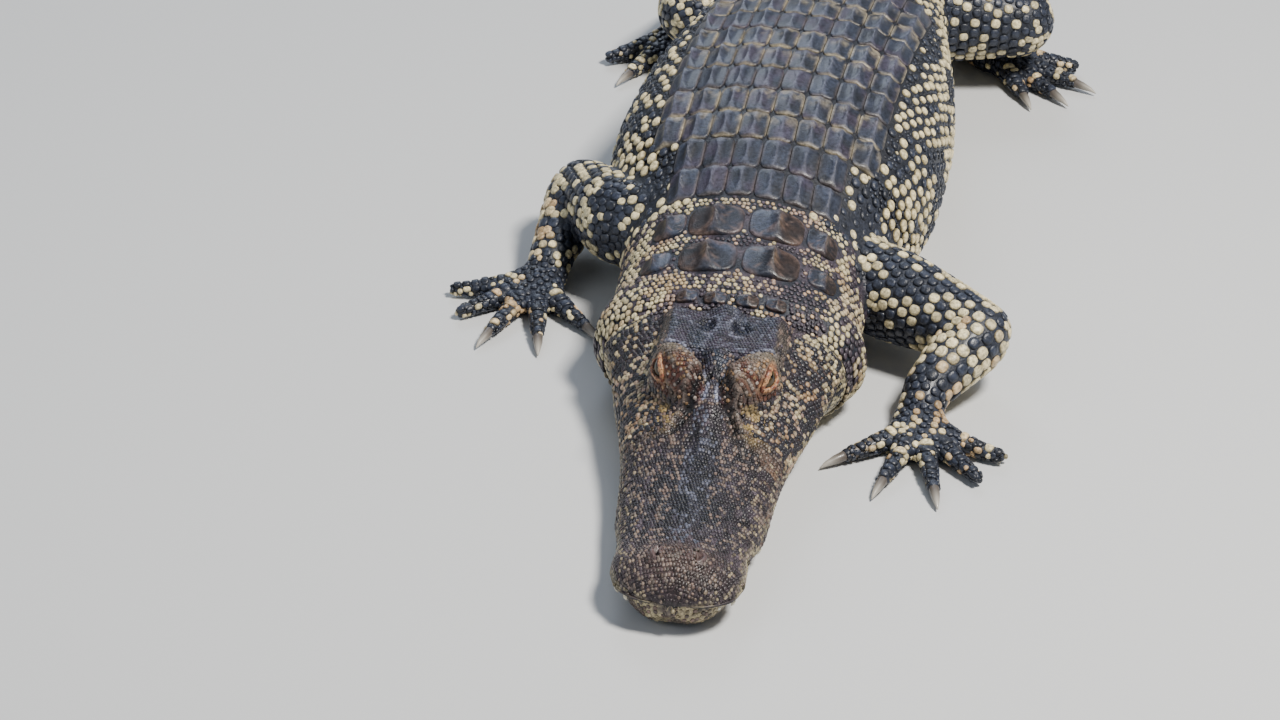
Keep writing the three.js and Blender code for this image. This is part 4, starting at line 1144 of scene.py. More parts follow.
def finished_skin():
    """Smooths the seams of the limbs and paints the skin. Gives a tree and points to set scales on."""
    mesh, trunk = joined_skin()
    points = points_of(mesh)
    s, x, z = along_spine(points)
    off = np.zeros(len(points))
    far = (s > LIMBS_FROM) & (np.abs(x) > 0.6 * half_width(s)) | (np.abs(x) > 145)
    for i in np.flatnonzero(far):
        off[i] = trunk.find_nearest(Vector(points[i]))[3]
    near_limb = np.zeros(len(points))
    for *_, joints in LIMBS.values():
        away = np.linalg.norm((points - place(*joints[1])) * [1, 1, 0.8], axis=1)
        near_limb = np.maximum(near_limb, 1 - smooth(70, 110, away))
    seam = near_limb * np.exp(-(off / 16) ** 2) * far
    points = relax(points, edges_of(mesh), seam * (s > LIMBS_FROM), 26)
    points[:, 2] = np.maximum(points[:, 2], 0)
    set_points(mesh, points)
    lower = (z < mouth(s) - 0.2) & (s < HEAD_END)
    body = body_paint(s, section_share(s, x, z) * girth(s) * np.sign(x))
    paint = mix(head_paint(s, x, z, lower), body, smooth(366, 392, s))
    limb_paint = mix(INK * 1.3, SLATE * 0.8, rough(s, x + z, 16, 61))
    put_paint(mesh, mix(paint, limb_paint, smooth(2.5, 7, off)))
    mesh.materials.clear()
    mesh.materials.append(HIDE)
    mesh.shade_smooth()
    skin = linked("alligator_skin", mesh)
    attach(skin, "root")
    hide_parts(*[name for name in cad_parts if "claw" not in name and "eye" not in name])
    tree = BVHTree.FromPolygons([Vector(q) for q in points], [q.vertices for q in mesh.polygons])
    return tree, points


def arc_at(s, x):
    """The way round the body to a place x beside the middle of the back."""
    out = np.empty(len(s))
    w = SHEET_W[128:]
    for i, (at, side) in enumerate(zip(s, x)):
        row = look_up(SHEET_X, np.full(129, at), w)
        k = int(np.argmax(row)) + 1
        out[i] = np.interp(side, row[:k], w[:k]) * float(girth(at))
    return out


EDGE_S = np.arange(380, TAIL_TIP, 10.0)
EDGE_ARC = arc_at(EDGE_S, np.where(EDGE_S < VENT, np.round(shield(EDGE_S) / PLATE["width"]) * PLATE["width"],
                                   crest_apart(EDGE_S) + 6))


def shield_edge(s):
    return np.interp(s, EDGE_S, EDGE_ARC)


def flat_relief(a, b):
    return np.ones_like(a + b)


def beads(sheet, s, v, long, wide, high, shape, paint):
    """A set of small scales on a sheet, each with its own height and one colour, with painted shade towards
    its foot.
    """
    (points, quads, tris, patch), _, _, level = sheet_scales(sheet, s, v, long, wide, flat_relief, shape)
    lift = np.where(level > 0, level, 0) * (high[:, None] - 1)
    points = points + normal_of(sheet, s, v)[:, None, :] * lift[..., None]
    points[..., 2] = np.maximum(points[..., 2], 0)
    # Each scale is darkened from its top down to its foot: painted shade between the scales
    foot = 0.25 + 0.75 * np.clip(level, 0, 1) ** 0.8
    return points, quads, tris, patch, paint[:, None, :] * foot[None, :, None]


def free_of_plates(s, x, margin):
    """True where no large plate of the back or neck stands."""
    free = np.abs(x) > np.round(shield(s) / PLATE["width"]) * PLATE["width"] - 2 + margin
    free |= (s < NECK_END - 2) | (s > VENT)
    for at, side, long, wide, _ in NECK_PLATES:
        out = ((s - at) / (long / 2 + margin)) ** 4 + ((np.abs(x) - side) / (wide / 2 + margin)) ** 4
        free &= out > 1
    return free


def staggered(s0, s1, v0, v1, step_s, step_v, jitter, seed):
    """Places in a staggered grid with a little disorder; v0 and v1 are functions of s."""
    local = np.random.default_rng(seed)
    out_s, out_v = [], []
    for row, s in enumerate(np.arange(s0, s1, step_s)):
        low, high = float(v0(s)), float(v1(s))
        count = max(int((high - low) / step_v), 1)
        v = low + (np.arange(count) + 0.5 * (row % 2) + 0.25) * (high - low) / count
        out_v.append(v + local.uniform(-jitter, jitter, count) * step_v)
        out_s.append(s + local.uniform(-jitter, jitter, count) * step_s)
    return np.concatenate(out_s), np.concatenate(out_v)


def near_skin(tree, spots, reach):
    return np.array([tree.find_nearest(Vector(spot))[3] < reach for spot in spots])


# Places that scales stand on, by cells of the given size
TAKEN = {}
CELL = 12


def crowded(spot, near):
    """Whether a scale of this size would cut into one that is there, and if not, its place is taken."""
    cell = tuple(int(math.floor(c / CELL)) for c in spot)
    for step in product((-1, 0, 1), repeat=3):
        for other, size in TAKEN.get(tuple(c + d for c, d in zip(cell, step)), ()):
            if (other - spot).length < (near + size) / 2:
                return True
    TAKEN.setdefault(cell, []).append((spot.copy(), near))
    return False


def take(spots, widths):
    for spot, width in zip(spots, np.broadcast_to(widths, len(spots))):
        crowded(Vector(spot), width)


def flank_top(s):
    return shield_edge(s) + 2.5


def flank_foot(s):
    return girth(s) * 0.70


def flank_parts(tree, sign):
    """Domed scales and fine grains of one flank."""
    s, v = staggered(NECK_END - 4, VENT, flank_top, flank_foot, 13.3, 12.5, 0.16, 11 + sign)
    keep = near_skin(tree, wrapped(s, sign * v), 3.5)
    s, v = s[keep], v[keep]
    pick = noise(s * 7.1, v * 5.3, 3.0, 73)
    bright = smooth(0.36, 0.54, rough(s, v * 1.2, 46, 72 + sign))
    cream = pick < 0.10 + 0.72 * (bright * (0.8 + 0.2 * smooth(0.25, 0.5, v / girth(s))))
    tone = mix(CREAM, YELLOW, 0.45 * rough(s, v, 90, 74) * smooth(0.2, 0.8, noise(s, v, 11, 79)))
    tone = tone * (0.72 + 0.4 * noise(s, v, 4, 75))[:, None]
    paint = np.where(cream[:, None], tone, mix(INK * 1.2, SLATE, pick))
    size = 3.5 + 1.8 * rough(s, v, 40, 71) + 1.7 * noise(s * 3.1, v * 3.7, 3, 76) ** 2
    size = np.where(cream, size, size * 0.9)
    domes = beads(wrapped, s, sign * v, size * 2.1, size * 1.9, 1.6 + 0.22 * size, FLANK_DOME, paint)
    take(wrapped(s, sign * v), size * 2)
    gs, gv = staggered(NECK_END - 4, VENT, flank_top, flank_foot, 5.2, 5.0, 0.2, 21 + sign)
    keep = np.all(np.hypot(gs[:, None] - s, gv[:, None] - v) >= size + 1.7, axis=1)
    keep &= near_skin(tree, wrapped(gs, sign * gv), 3.5)
    gs, gv = gs[keep], gv[keep]
    take(wrapped(gs, sign * gv), 4.2)
    few = noise(gs * 3, gv * 3, 2, 78) > 0.93
    shade = np.where(few[:, None], CREAM * 0.7, mix(INK * 1.2, SLATE * 1.1, noise(gs, gv, 9, 77)))
    long, wide, high = (np.full(len(gs), value) for value in (4.6, 4.4, 0.8))
    return [domes, beads(wrapped, gs, sign * gv, long, wide, high, FLANK_GRAIN, shade)]


# Zones of the neck: side, shares of the girth from and to, distance apart, seed and shape of the scales
NECK_ZONES = [(0, -0.30, 0.30, 4.9, 31, NAPE_GRAIN), (-1, 0.30, 0.72, 6.6, 40, NECK_BEAD),
              (1, 0.30, 0.72, 6.6, 42, NECK_BEAD)]


def neck_parts(tree):
    """Grains of the nape, and larger ones down the sides of the neck."""
    parts = []
    for sign, inner, outer, pitch, seed, shape in NECK_ZONES:
        nape = sign == 0
        s, v = staggered(HEAD_END - 2, NECK_END + 2, lambda q: girth(q) * inner + (0 if nape else 1),
                         lambda q: girth(q) * outer, pitch, pitch * 1.03, 0.2, seed)
        v = v if nape else v * sign
        keep = free_of_plates(s, look_up(SHEET_X, s, v / girth(s)), pitch * 0.36)
        keep &= near_skin(tree, wrapped(s, v), 3.5)
        s, v = s[keep], v[keep]
        pick = noise(s * 5.7, v * 6.1, 3, 82)
        pale = mix(CREAM, PINK * 1.2, smooth(0.35, 0.65, rough(s, v, 28, 84)) * (0.9 if nape else 0.35))
        pale = mix(pale, TAN * 1.5, 0.6 * smooth(0.5, 0.75, rough(s, v, 20, 85)))
        pale = pale * (0.45 + 0.5 * noise(s, v, 5, 86))[:, None]
        chance = 0.34 + 0.4 * smooth(0.4, 0.62, rough(s, v, 34, 83)) + (0 if nape else 0.06)
        paint = np.where((pick < chance)[:, None], pale, mix(INK * 1.6, PLUM * 1.2, pick))
        take(wrapped(s, v), pitch * 0.8)
        size = pitch * (0.86 + 0.22 * rough(s, v, 22, 81))
        parts.append(beads(wrapped, s, v, size, size * 0.95, 0.7 + 0.13 * size, shape, paint))
    return parts


def neck_plate_parts():
    """The large keeled plates of the nape."""
    parts = []
    for at, side, long, wide, keel in NECK_PLATES:
        for sign in (-1, 1):
            relief = keeled(keel, 0.3, 0.17)
            shell, a, b = plate(at, sign * side, long * 0.98, wide * 0.98, relief, NAPE_PLATE)
            here, there, outer = at + 20 * a, side + 20 * b, b * sign
            dark = mix(INK * 1.4, SLATE * 1.2, noise(here, there, 12, 91))
            # The outer half of each plate, beyond its keel, goes dark: painted shade of the keel's outer
            # side, with some brown of the hide
            dark = mix(dark, mix(INK, BROWN * 0.3, noise(here, there, 7, 94)), smooth(0.1, 0.3, outer))
            dark = mix(dark, PINK * 0.4, 0.4 * smooth(0.66, 0.82, noise(here, there, 3.2, 93)))
            rim = smooth(0.84, 1.0, np.hypot(a, b) / 1.1) * smooth(0.3, 0.6, noise(here, there, 9, 92))
            # A tan stripe along the outer flank of each keel, except at its front
            keel_stripe = 0.6 * np.exp(-np.abs((outer - 0.08) / 0.05)) * smooth(-0.95, -0.2, a)
            parts.append((*shell, mix(mix(dark, PINK * 0.45, rim * 0.4), TAN * 0.7, keel_stripe)))
    return parts


def tail_parts():
    """Rings of tiles round the tail, higher near the top."""
    rows = []
    for middle, step in WHORL_ROWS:
        start, stop = float(shield_edge(middle)), float(girth(middle))
        count = max(int(round((stop - start) / (11 + 9 * min(stop / 200, 1)))), 1)
        width = (stop - start) / count
        for j, sign in product(range(count), (-1, 1)):
            rows.append((middle, sign * (start + width * (j + 0.5)), step * 0.93, width * 0.9, 1 - j / count))
    s, v, long, wide, upper = np.array(rows).T
    pick = noise(s * 3.3, v * 4.7, 5, 95)
    dark = mix(INK * 1.2, SLATE * 0.9, pick)
    band = smooth(0.55, 0.9, 0.5 + 0.5 * np.sin(s * 2 * math.pi / 150)) * smooth(0.3, 0.7, 1 - upper)
    paint = mix(dark, mix(CREAM * 0.8, YELLOW * 0.8, pick), 0.8 * band * (pick > 0.3))
    paint = mix(paint, CREAM * 0.5, smooth(0.25, 0.05, upper) * 0.8)
    spotted = smooth(VENT + 260, VENT, s) * (noise(s * 2.1, v * 2.9, 9, 96) > 0.60) * smooth(0.98, 0.7, upper)
    paint = mix(paint, CREAM * 0.7, 0.85 * spotted)
    return [beads(wrapped, s, v, long, wide, 1.0 + 0.9 * upper, TAIL_TILE, paint)]


def crest_frames():
    """Place, side, length and height of each blade of the crest."""
    for middle, step in WHORL_ROWS:
        for sign in ((-1, 1) if middle < CREST_JOINS else (0,)):
            yield middle, sign * float(crest_apart(middle)), step, float(crest(middle))


def crest_parts():
    """The blades of the tail's crest: thin keels that rise to the rear."""
    parts, around = [], 20
    angle = 2 * math.pi * np.arange(around) / around
    for middle, x, step, high in crest_frames():
        at = on_back(middle, x)
        up = unit(normal_of(on_back, np.array([middle]), np.array([x]))[0] * 0.4 + np.array([0, 0, 0.6]))
        way = on_back(middle + 2.0, x) - at
        way = unit(way - up * (way @ up))
        thick = min(10.0, float(half_width(middle)) * 0.9)
        high = high * rng.uniform(0.94, 1.04)
        half = step * 0.47
        rows = [(half, thick * 0.5, 0.0, -6.0)]
        for t in np.linspace(0, 1, 9):
            long = half * ((1 - t) ** 0.62 * 0.97 + 0.03)
            rows.append((long, thick * 0.5 * (1 - 0.82 * t ** 0.7), half * 0.42 * t, high * t))
        rings = [np.stack([long * np.cos(angle) + move, wide * np.sin(angle), np.full(around, level)], 1)
                 for long, wide, move, level in rows]
        local = np.concatenate(rings + [[[rows[-1][2], 0, high + 0.4], [0, 0, -6.0]]])
        points = at + local[:, :1] * way + local[:, 1:2] * np.cross(up, way) + local[:, 2:] * up
        points[:, 2] = np.maximum(points[:, 2], 0)
        patch = patch_uv(np.array([[middle, x]]), local[None, :, 0] / half, local[None, :, 1] / thick * 2)
        tone = mix(INK * 1.6, SLATE * 1.1, noise(middle + local[:, 0], local[:, 2] * 2, 9, 97))
        paint = mix(tone, TAN * 0.8, smooth(0.72, 1.0, np.clip(local[:, 2] / high, 0, 1)) * 0.5)
        parts.append((points, *scale_shells(1, len(rows), around), patch, paint))
    return parts


def belly_parts():
    """Flat tiles in rows under the body, and larger smooth scales along its lower edge."""
    rows = []
    for row in np.arange(HEAD_END + 8, VENT - 6, 24.0):
        start, stop = 0.70 * float(girth(row)), float(girth(row))
        count = max(int(round((stop - start) / 21)), 1)
        for j, sign in product(range(count), (-1, 1)):
            rows.append((row, sign * (start + (stop - start) * (j + 0.5) / count)))
    s, v = np.array(rows).T
    wide = 0.3 * girth(s) / np.maximum(np.round(0.3 * girth(s) / 21), 1) * 0.92
    pick = noise(s * 2.3, v * 3.1, 6, 101)
    edge = smooth(0.86, 0.74, np.abs(v) / girth(s))
    paint = mix(CREAM * 0.95, YELLOW * 0.8, 0.5 * pick)
    paint = mix(paint, INK * 3, edge * (pick > 0.55) * 0.85)
    long, high = np.full(len(s), 22.0), 0.05 + 0.9 * edge
    return [beads(wrapped, s, v, long, wide, high, BELLY_TILE, paint)]


# Scales set one by one on the skin, each on its own tangent plane
def set_on_skin(tree, roots, ways, long, wide, high, radius, shape, paint, uv, reach, crowd):
    """Beads on the skin nearest to their roots.

    Those that find none within reach, or would crowd another, are left out. radius is how round the skin is.
    """
    keep, at, normal = [], [], []
    for i, root in enumerate(roots):
        hit, n, _, distance = tree.find_nearest(Vector(root))
        if distance <= reach and hit.z >= 0.6 and not crowded(hit, crowd * (long[i] + wide[i])):
            keep.append(i)
            at.append(hit)
            normal.append(n)
    at, normal, ways = np.array(at, float), np.array(normal, float), ways[keep]
    ways = unit(ways - normal * np.sum(ways * normal, 1, keepdims=True))
    across = np.cross(normal, ways)
    sizes = (np.broadcast_to(size, len(roots))[keep, None] for size in (long, wide, high, radius))
    long, wide, high, radius = sizes
    profile, around, _ = shape
    share_a, share_b, level = scale_outline(*shape)
    a, b = share_a * long / 2, share_b * wide / 2
    lift = np.where(level < 0, level, level * (high + COAT)) - b * b / (2 * radius)
    points = (at[:, None] + ways[:, None] * a[..., None] + across[:, None] * b[..., None]
              + normal[:, None] * lift[..., None])
    points[..., 2] = np.maximum(points[..., 2], 0)
    # Each scale is darkened from its top down to its foot: painted shade between the scales
    foot = 0.3 + 0.7 * np.clip(level, 0, 1) ** 0.8
    patch = patch_uv(uv[keep], a / long * 2, b / wide * 2)
    return points, *scale_shells(len(keep), len(profile), around), patch, paint[keep][:, None] * foot[:, None]


# Scales of each part of a limb: length, width, size of those between the rings, and chance of a pale one
LIMB_SCALES = {
    "upper": (11.5, 11, 9.5, 0.42),
    "lower": (13.5, 13, 10, 0.62),
    "wrist": (10, 10, 8.5, 0.5),
    "palm": (8.5, 8, 6.6, 0.25),
    "toe": (9, 13, 5.4, 0.18),
}
PARTS = list(LIMB_SCALES)
BAND = 320


def way_round(angle, size):
    return (angle / (2 * math.pi) % 1) * 2 * math.pi * size * 0.8


def gap_rows(tubes, points):
    """Every spot of the skin near a limb, for small scales wherever the rings leave it bare."""
    ways = [np.gradient(path, axis=0) for path, *_ in tubes]
    run = np.concatenate([np.cumsum(np.linalg.norm(way, axis=1)) for way in ways])
    way = unit(np.concatenate(ways))
    path, size = (np.concatenate([tube[k] for tube in tubes]) for k in (0, 1))
    part = np.repeat([PARTS.index(tube[3]) for tube in tubes], [len(tube[1]) for tube in tubes])
    limb = points[(np.linalg.norm(points - path.mean(0), axis=1) < 330) & (points[:, 2] > 2)]
    away = np.linalg.norm(limb[:, None] - path[None], axis=2) - size[None]
    near = away.argmin(1)
    s, x, z = along_spine(limb)
    armpit = (np.abs(x) > shield(s) + 8) & (s > NECK_END) & (s < VENT) & (z > 12)
    keep = away.min(1) < np.where(armpit, 34, 9)
    limb, near = limb[keep], near[keep]
    way, size, part, run, out = way[near], size[near], part[near], run[near], limb - path[near]
    across = np.cross(way, [0, 0, 1.0])
    angle = np.arctan2(np.sum(out * np.cross(across, way), 1), np.sum(out * across, 1))
    sizes = np.array([row[2] for row in LIMB_SCALES.values()])[part]
    return [limb, way, sizes, sizes, size, part, np.stack([run, BAND * part + way_round(angle, size)], 1)]


def ring_rows(tubes, local):
    """Rings of scales round the tubes of a limb, and three along the top of each toe."""
    rows, toe = [], 0
    for path, sizes, flat, part in tubes:
        long, wide, _, _ = LIMB_SCALES[part]
        run = np.concatenate([[0], np.cumsum(np.linalg.norm(np.diff(path, axis=0), axis=1))])
        ways = np.gradient(path, axis=0)
        band = BAND * PARTS.index(part) + (40 * toe if part == "toe" else 0)
        for r, d in enumerate(np.arange(long * 0.4, run[-1], long * 0.97)):
            at, way = (np.array([np.interp(d, run, column) for column in q.T]) for q in (path, ways))
            way = unit(way)
            size = float(np.interp(d, run, sizes))
            across = unit(np.cross(way, [0, 0, 1.0]))
            over = np.cross(across, way)
            if part == "toe":
                angles, widths = math.pi / 2 + np.array([0, -1.15, 1.15]), size * np.array([1.55, 0.8, 0.8])
            else:
                count = max(int(2 * math.pi * size * (0.5 + 0.5 * flat) / (wide * 1.04)), 4)
                angles = 2 * math.pi * (np.arange(count) + 0.5 * (r % 2)) / count
                widths = np.full(count, wide)
            for angle, width in zip(angles, widths):
                drift = local.uniform(-0.09, 0.09) * wide
                root = at + way * drift + size * (across * math.cos(angle) + flat * over * math.sin(angle))
                if root[2] < 1.5:
                    continue
                rows.append((root, way, long * local.uniform(0.86, 0.97), width * local.uniform(0.86, 0.97),
                             size, PARTS.index(part), (d, band + way_round(angle, size))))
        toe += part == "toe"
    return [np.array(values) for values in zip(*rows)]


def leg_parts(tree, limb, skin_points):
    """Scales of one limb: rings of them, and smaller ones between."""
    tubes = limb_tubes(limb)
    local = np.random.default_rng(len(limb) * 7 + LIMBS[limb][0]["seed"])
    ringed, gaps = ring_rows(tubes, local), gap_rows(tubes, skin_points)
    shuffle = local.permutation(len(gaps[0]))
    gaps = [values[shuffle] for values in gaps]
    for k in (2, 3):
        gaps[k] = gaps[k] * local.uniform(0.85, 1.1, len(shuffle))
    roots, ways, long, wide, radius, part, uv = (np.concatenate(pair) for pair in zip(ringed, gaps))
    pick = local.uniform(0, 1, len(roots))
    patch = rough(roots[:, 0] + roots[:, 2], roots[:, 1], 34, 111)
    chance = np.array([row[3] for row in LIMB_SCALES.values()])[part] * (0.5 + smooth(0.35, 0.6, patch))
    tan = 0.75 * smooth(0.45, 0.7, rough(roots[:, 0], roots[:, 1], 26, 112)) * (part >= 1)
    pale = mix(CREAM * 1.05, TAN * 1.7, tan) * local.uniform(0.6, 1.0, len(roots))[:, None]
    paint = np.where((pick < chance)[:, None], pale, mix(INK * 1.2, SLATE * 0.9, pick))
    on_toe = part == PARTS.index("toe")
    high = np.where(np.arange(len(roots)) < len(ringed[0]), np.where(on_toe, 0.8, 1.1), 0.4)
    return [set_on_skin(tree, roots, ways, long, wide, high, np.maximum(radius, 9), LIMB_SCALE, paint, uv,
                        12.0, 0.4)]


def fold_parts(tree, sign):
    """Small grains where a limb's root lifts the skin off the body's sheet and the scales leave it bare."""
    s, v = staggered(LIMBS_FROM, VENT + 70, flank_top, flank_foot, 4.4, 4.2, 0.25, 51 + sign)
    roots = wrapped(s, sign * v)
    keep = near_skin(tree, roots, 22) & ~near_skin(tree, roots, 1.8)
    s, v, roots = s[keep], v[keep], roots[keep]
    local = np.random.default_rng(61 + sign)
    sizes = local.uniform(4.2, 5.4, len(s))
    pick = local.uniform(0, 1, len(s))
    paint = np.where((pick < 0.16)[:, None], CREAM * 0.85, mix(INK * 1.2, SLATE, pick))
    return [set_on_skin(tree, roots, way_of_spine(s), sizes, sizes, -0.2, 40, FOLD_GRAIN, paint,
                        np.stack([s, sign * v], 1), 22.0, 0.5)]


HEAD_TABLE_S = np.arange(0.6, HEAD_END, 2.0)
HEAD_ROUND = 60
CHEEK_PITCH = 4.9
FACE_PITCH = (4.1, 3.0)


def head_spots(from_s, step_s, step_v, jitter, seed):
    """Spots in rows round the head: s, x and z, and how far round from the middle of the top."""
    x, z = head_rings(HEAD_TABLE_S)
    run = run_along(x, z)
    local = np.random.default_rng(seed)
    rows = []
    for r, s in enumerate(np.arange(from_s, HEAD_END - 2, step_s)):
        i = int(np.argmin(np.abs(HEAD_TABLE_S - s)))
        v = np.arange(step_v * 0.5 * (r % 2), run[i, -1], step_v)
        for sign in (-1, 1):
            q = v + local.uniform(-jitter, jitter, len(v))
            at = s + local.uniform(-jitter, jitter, len(v))
            side, up = (np.interp(q, run[i], row) for row in (x[i], z[i]))
            rows.append(np.stack([at, sign * side, up, sign * q], 1))
    return np.concatenate(rows).T


def on_cheek(s, x, z):
    side = np.abs(x) / jaw_half(s)
    return (s > 224) & (side > 0.56) & (z > mouth(s) + 4.2) & (z < np.where(s < 300, 88, 99))


def on_table(s, x):
    return (np.abs(x) < TABLE["half"]) & (s > TABLE["front"])


def off_openings(s, x, z):
    """False in the nostrils, on the lids, in the mouth and in the slit over the ear."""
    nostril = np.hypot(np.abs(x) - NOSTRIL["x"] - 2, (s - NOSTRIL["s"]) * 0.5) < 5.5
    ear = (s > EAR["from"]) & (s < EAR["to"]) & (np.abs(x) > 48) & (np.abs(z - EAR["z"]) < 2.6)
    keep = ~(nostril & (z > 45)) & ~ear & (z > mouth(s) + 3)
    for sign in (1, -1):
        ring, ahead = round_slit(place(s, x, z), sign, 5.5, 6.5)
        keep &= (ring > 1) | (ahead < 0)
    return keep


def cheek_parts(tree):
    """Grains of the cheeks and the throat, set on the head's skin."""
    s, x, z, q = head_spots(118, CHEEK_PITCH * 0.9, CHEEK_PITCH, 0.55, 17)
    cheek = on_cheek(s, x, z)
    keep = cheek & off_openings(s, x, z) | (z < mouth(s) - 2)
    s, x, z, q, cheek = (value[keep] for value in (s, x, z, q, cheek))
    local = np.random.default_rng(19)
    sizes = CHEEK_PITCH * local.uniform(1.0, 1.25, len(s))
    pick = local.uniform(0, 1, len(s))
    jowl = smooth(315, 380, s)
    pale = mix(CREAM * 0.75, PINK * 0.9, pick[::-1] * cheek * (1 - jowl))
    pale = mix(pale, TAN * 1.2, 0.7 * (1 - 0.6 * jowl) * smooth(0.4, 0.65, rough(s, q, 24, 141)))
    dark = mix(PLUM * 0.6, INK * 1.6, pick)
    clumps = smooth(0.35, 0.6, rough(s, q, 26, 142))
    chance = np.where(cheek, 0.12 + 0.42 * clumps + 0.22 * jowl, 0.5 + 0.35 * clumps)
    paint = np.where((pick < chance)[:, None], pale * local.uniform(0.45, 1.05, len(s))[:, None], dark)
    high = np.where(cheek, -0.2, -0.5)
    return [set_on_skin(tree, place(s, x, z), way_of_spine(s), sizes, sizes * 0.96, high, HEAD_ROUND,
                        CHEEK_GRAIN, paint, np.stack([s, q], 1), 4.0, 0.32)]


def face_parts(tree):
    """Fine long flecks of the snout, the bumps over the eyes and the skull table."""
    s, x, z, q = head_spots(10, FACE_PITCH[0], FACE_PITCH[1], 0.35, 23)
    keep = ~on_cheek(s, x, z) & off_openings(s, x, z) & (s < 378)
    s, x, z, q = (value[keep] for value in (s, x, z, q))
    local = np.random.default_rng(29)
    even = on_table(s, x) | (across_dome(x, s) < 1)
    long = FACE_PITCH[0] * np.where(even, 1.0, local.uniform(1.0, 1.4, len(s)))
    wide = FACE_PITCH[1] * local.uniform(1.0, 1.25, len(s)) * np.where(even, 1.15, 1)
    paint = face_grain_paint(s, x, z, local)
    return [set_on_skin(tree, place(s, x, z), way_of_spine(s), long, wide, -0.5, HEAD_ROUND, FACE_GRAIN,
                        paint, np.stack([s, q], 1), 4.0, 0.30)]


def face_grain_paint(s, x, z, local):
    """The skin's own colour, lighter or darker by the grain, with pale flecks."""
    pick, shade = local.uniform(0, 1, (2, len(s)))
    table = on_table(s, x)
    dome = (across_dome(x, s) < 1) & (z > 90)
    side = smooth(0.6, 0.9, np.abs(x) / jaw_half(s))
    ridge = (np.abs(x) < 14) & (s > 60) & (s < 240)
    pale = mix(mix(GREY * 0.65, PINK * 0.55, shade), FROST * 0.65, table | ridge)
    pale = mix(pale, GREY * 1.2, dome)
    pale = mix(pale, TAN * 0.95, dome & (shade > 0.5))
    pale = mix(pale, CREAM * 0.5, 0.6 * side * (shade > 0.5))
    clumps = smooth(0.3, 0.65, rough(s * 0.5, x, 12, 151))
    chance = np.where(table, 0.12, np.where(dome, 0.26, 0.11 + 0.27 * clumps)) + 0.12 * side
    paint = head_paint(s, x, z, z < mouth(s)) * (0.42 + 0.75 * shade)[:, None]
    return np.where((pick < chance)[:, None], pale * (0.5 + 0.6 * shade[::-1])[:, None], paint)


def head_fill(tree, points):
    """Small grains wherever the rows leave the head's skin bare."""
    s, x, z = along_spine(points)
    lower = z < mouth(s) - 2
    keep = (s < HEAD_END + 4) & (np.abs(x) < 140) & (z > 1.5) & (lower | off_openings(s, x, z))
    local = np.random.default_rng(37)
    keep = local.permutation(np.flatnonzero(keep))
    s, x, z, lower = (value[keep] for value in (s, x, z, lower))
    sizes = np.where(on_cheek(s, x, z) | lower, 4.4, 3.3) * local.uniform(0.88, 1.08, len(s))
    paint = face_grain_paint(s, x, z, local)
    root = np.stack([s, 1.4 * x + np.sign(x) * (150 - z)], 1)
    return [set_on_skin(tree, points[keep], way_of_spine(s), sizes, sizes, -0.55, HEAD_ROUND, FILL_GRAIN,
                        paint, root, 4.0, 0.42)]


# How far round the ball the iris goes, and its colours
# These are the eye's own colours made far darker than an olive-gold iris: painted shade of the lids over the
# eye
IRIS = {
    "wide": math.radians(46),
    "light": np.array([0.085, 0.052, 0.016]),
    "dark": np.array([0.02, 0.014, 0.007]),
    "rim": np.array([0.02, 0.017, 0.01]),
    "white": np.array([0.05, 0.035, 0.03]),
    "pupil": np.array([0.002, 0.002, 0.002]),
}


def eyeballs():
    """Glossy balls with an upright slit pupil and a mottled iris."""
    rings, around = 39, 64
    polar = np.linspace(0, math.pi, rings + 2)[1:-1, None, None]
    angle = 2 * math.pi * np.arange(around)[:, None] / around
    for name, sign in (("left", 1), ("right", -1)):
        centre, out, over, along = eye_axes(sign)
        ball = np.cos(polar) * np.ones((around, 1)) * out
        ball = ball + np.sin(polar) * np.cos(angle) * along + np.sin(polar) * np.sin(angle) * over
        ball = np.concatenate([ball.reshape(-1, 3), [out], [-out]])
        across, up, facing = ball @ along, ball @ over, ball @ out
        radius = np.arccos(np.clip(facing, -1, 1)) / IRIS["wide"]
        iris = mix(IRIS["light"], IRIS["dark"], rough(np.arctan2(up, across) * 12, radius * 6, 1.6, 121))
        iris = mix(iris, IRIS["rim"], smooth(0.8, 1.0, radius))
        paint = mix(iris, IRIS["white"], smooth(0.98, 1.08, radius))
        slit = np.abs(across) / (0.13 * np.sqrt(np.maximum(1 - (up / 0.6) ** 2, 1e-4)))
        paint = mix(paint, IRIS["pupil"], (1 - smooth(0.85, 1.15, slit)) * (facing > 0))
        points, faces = centre + ball * EYE["radius"], outward(ball, tube_faces(rings, around))
        piece = new_object("eyeball_" + name, points, faces, "eye", paint, None, EYEBALL)
        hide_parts("eye_" + name)


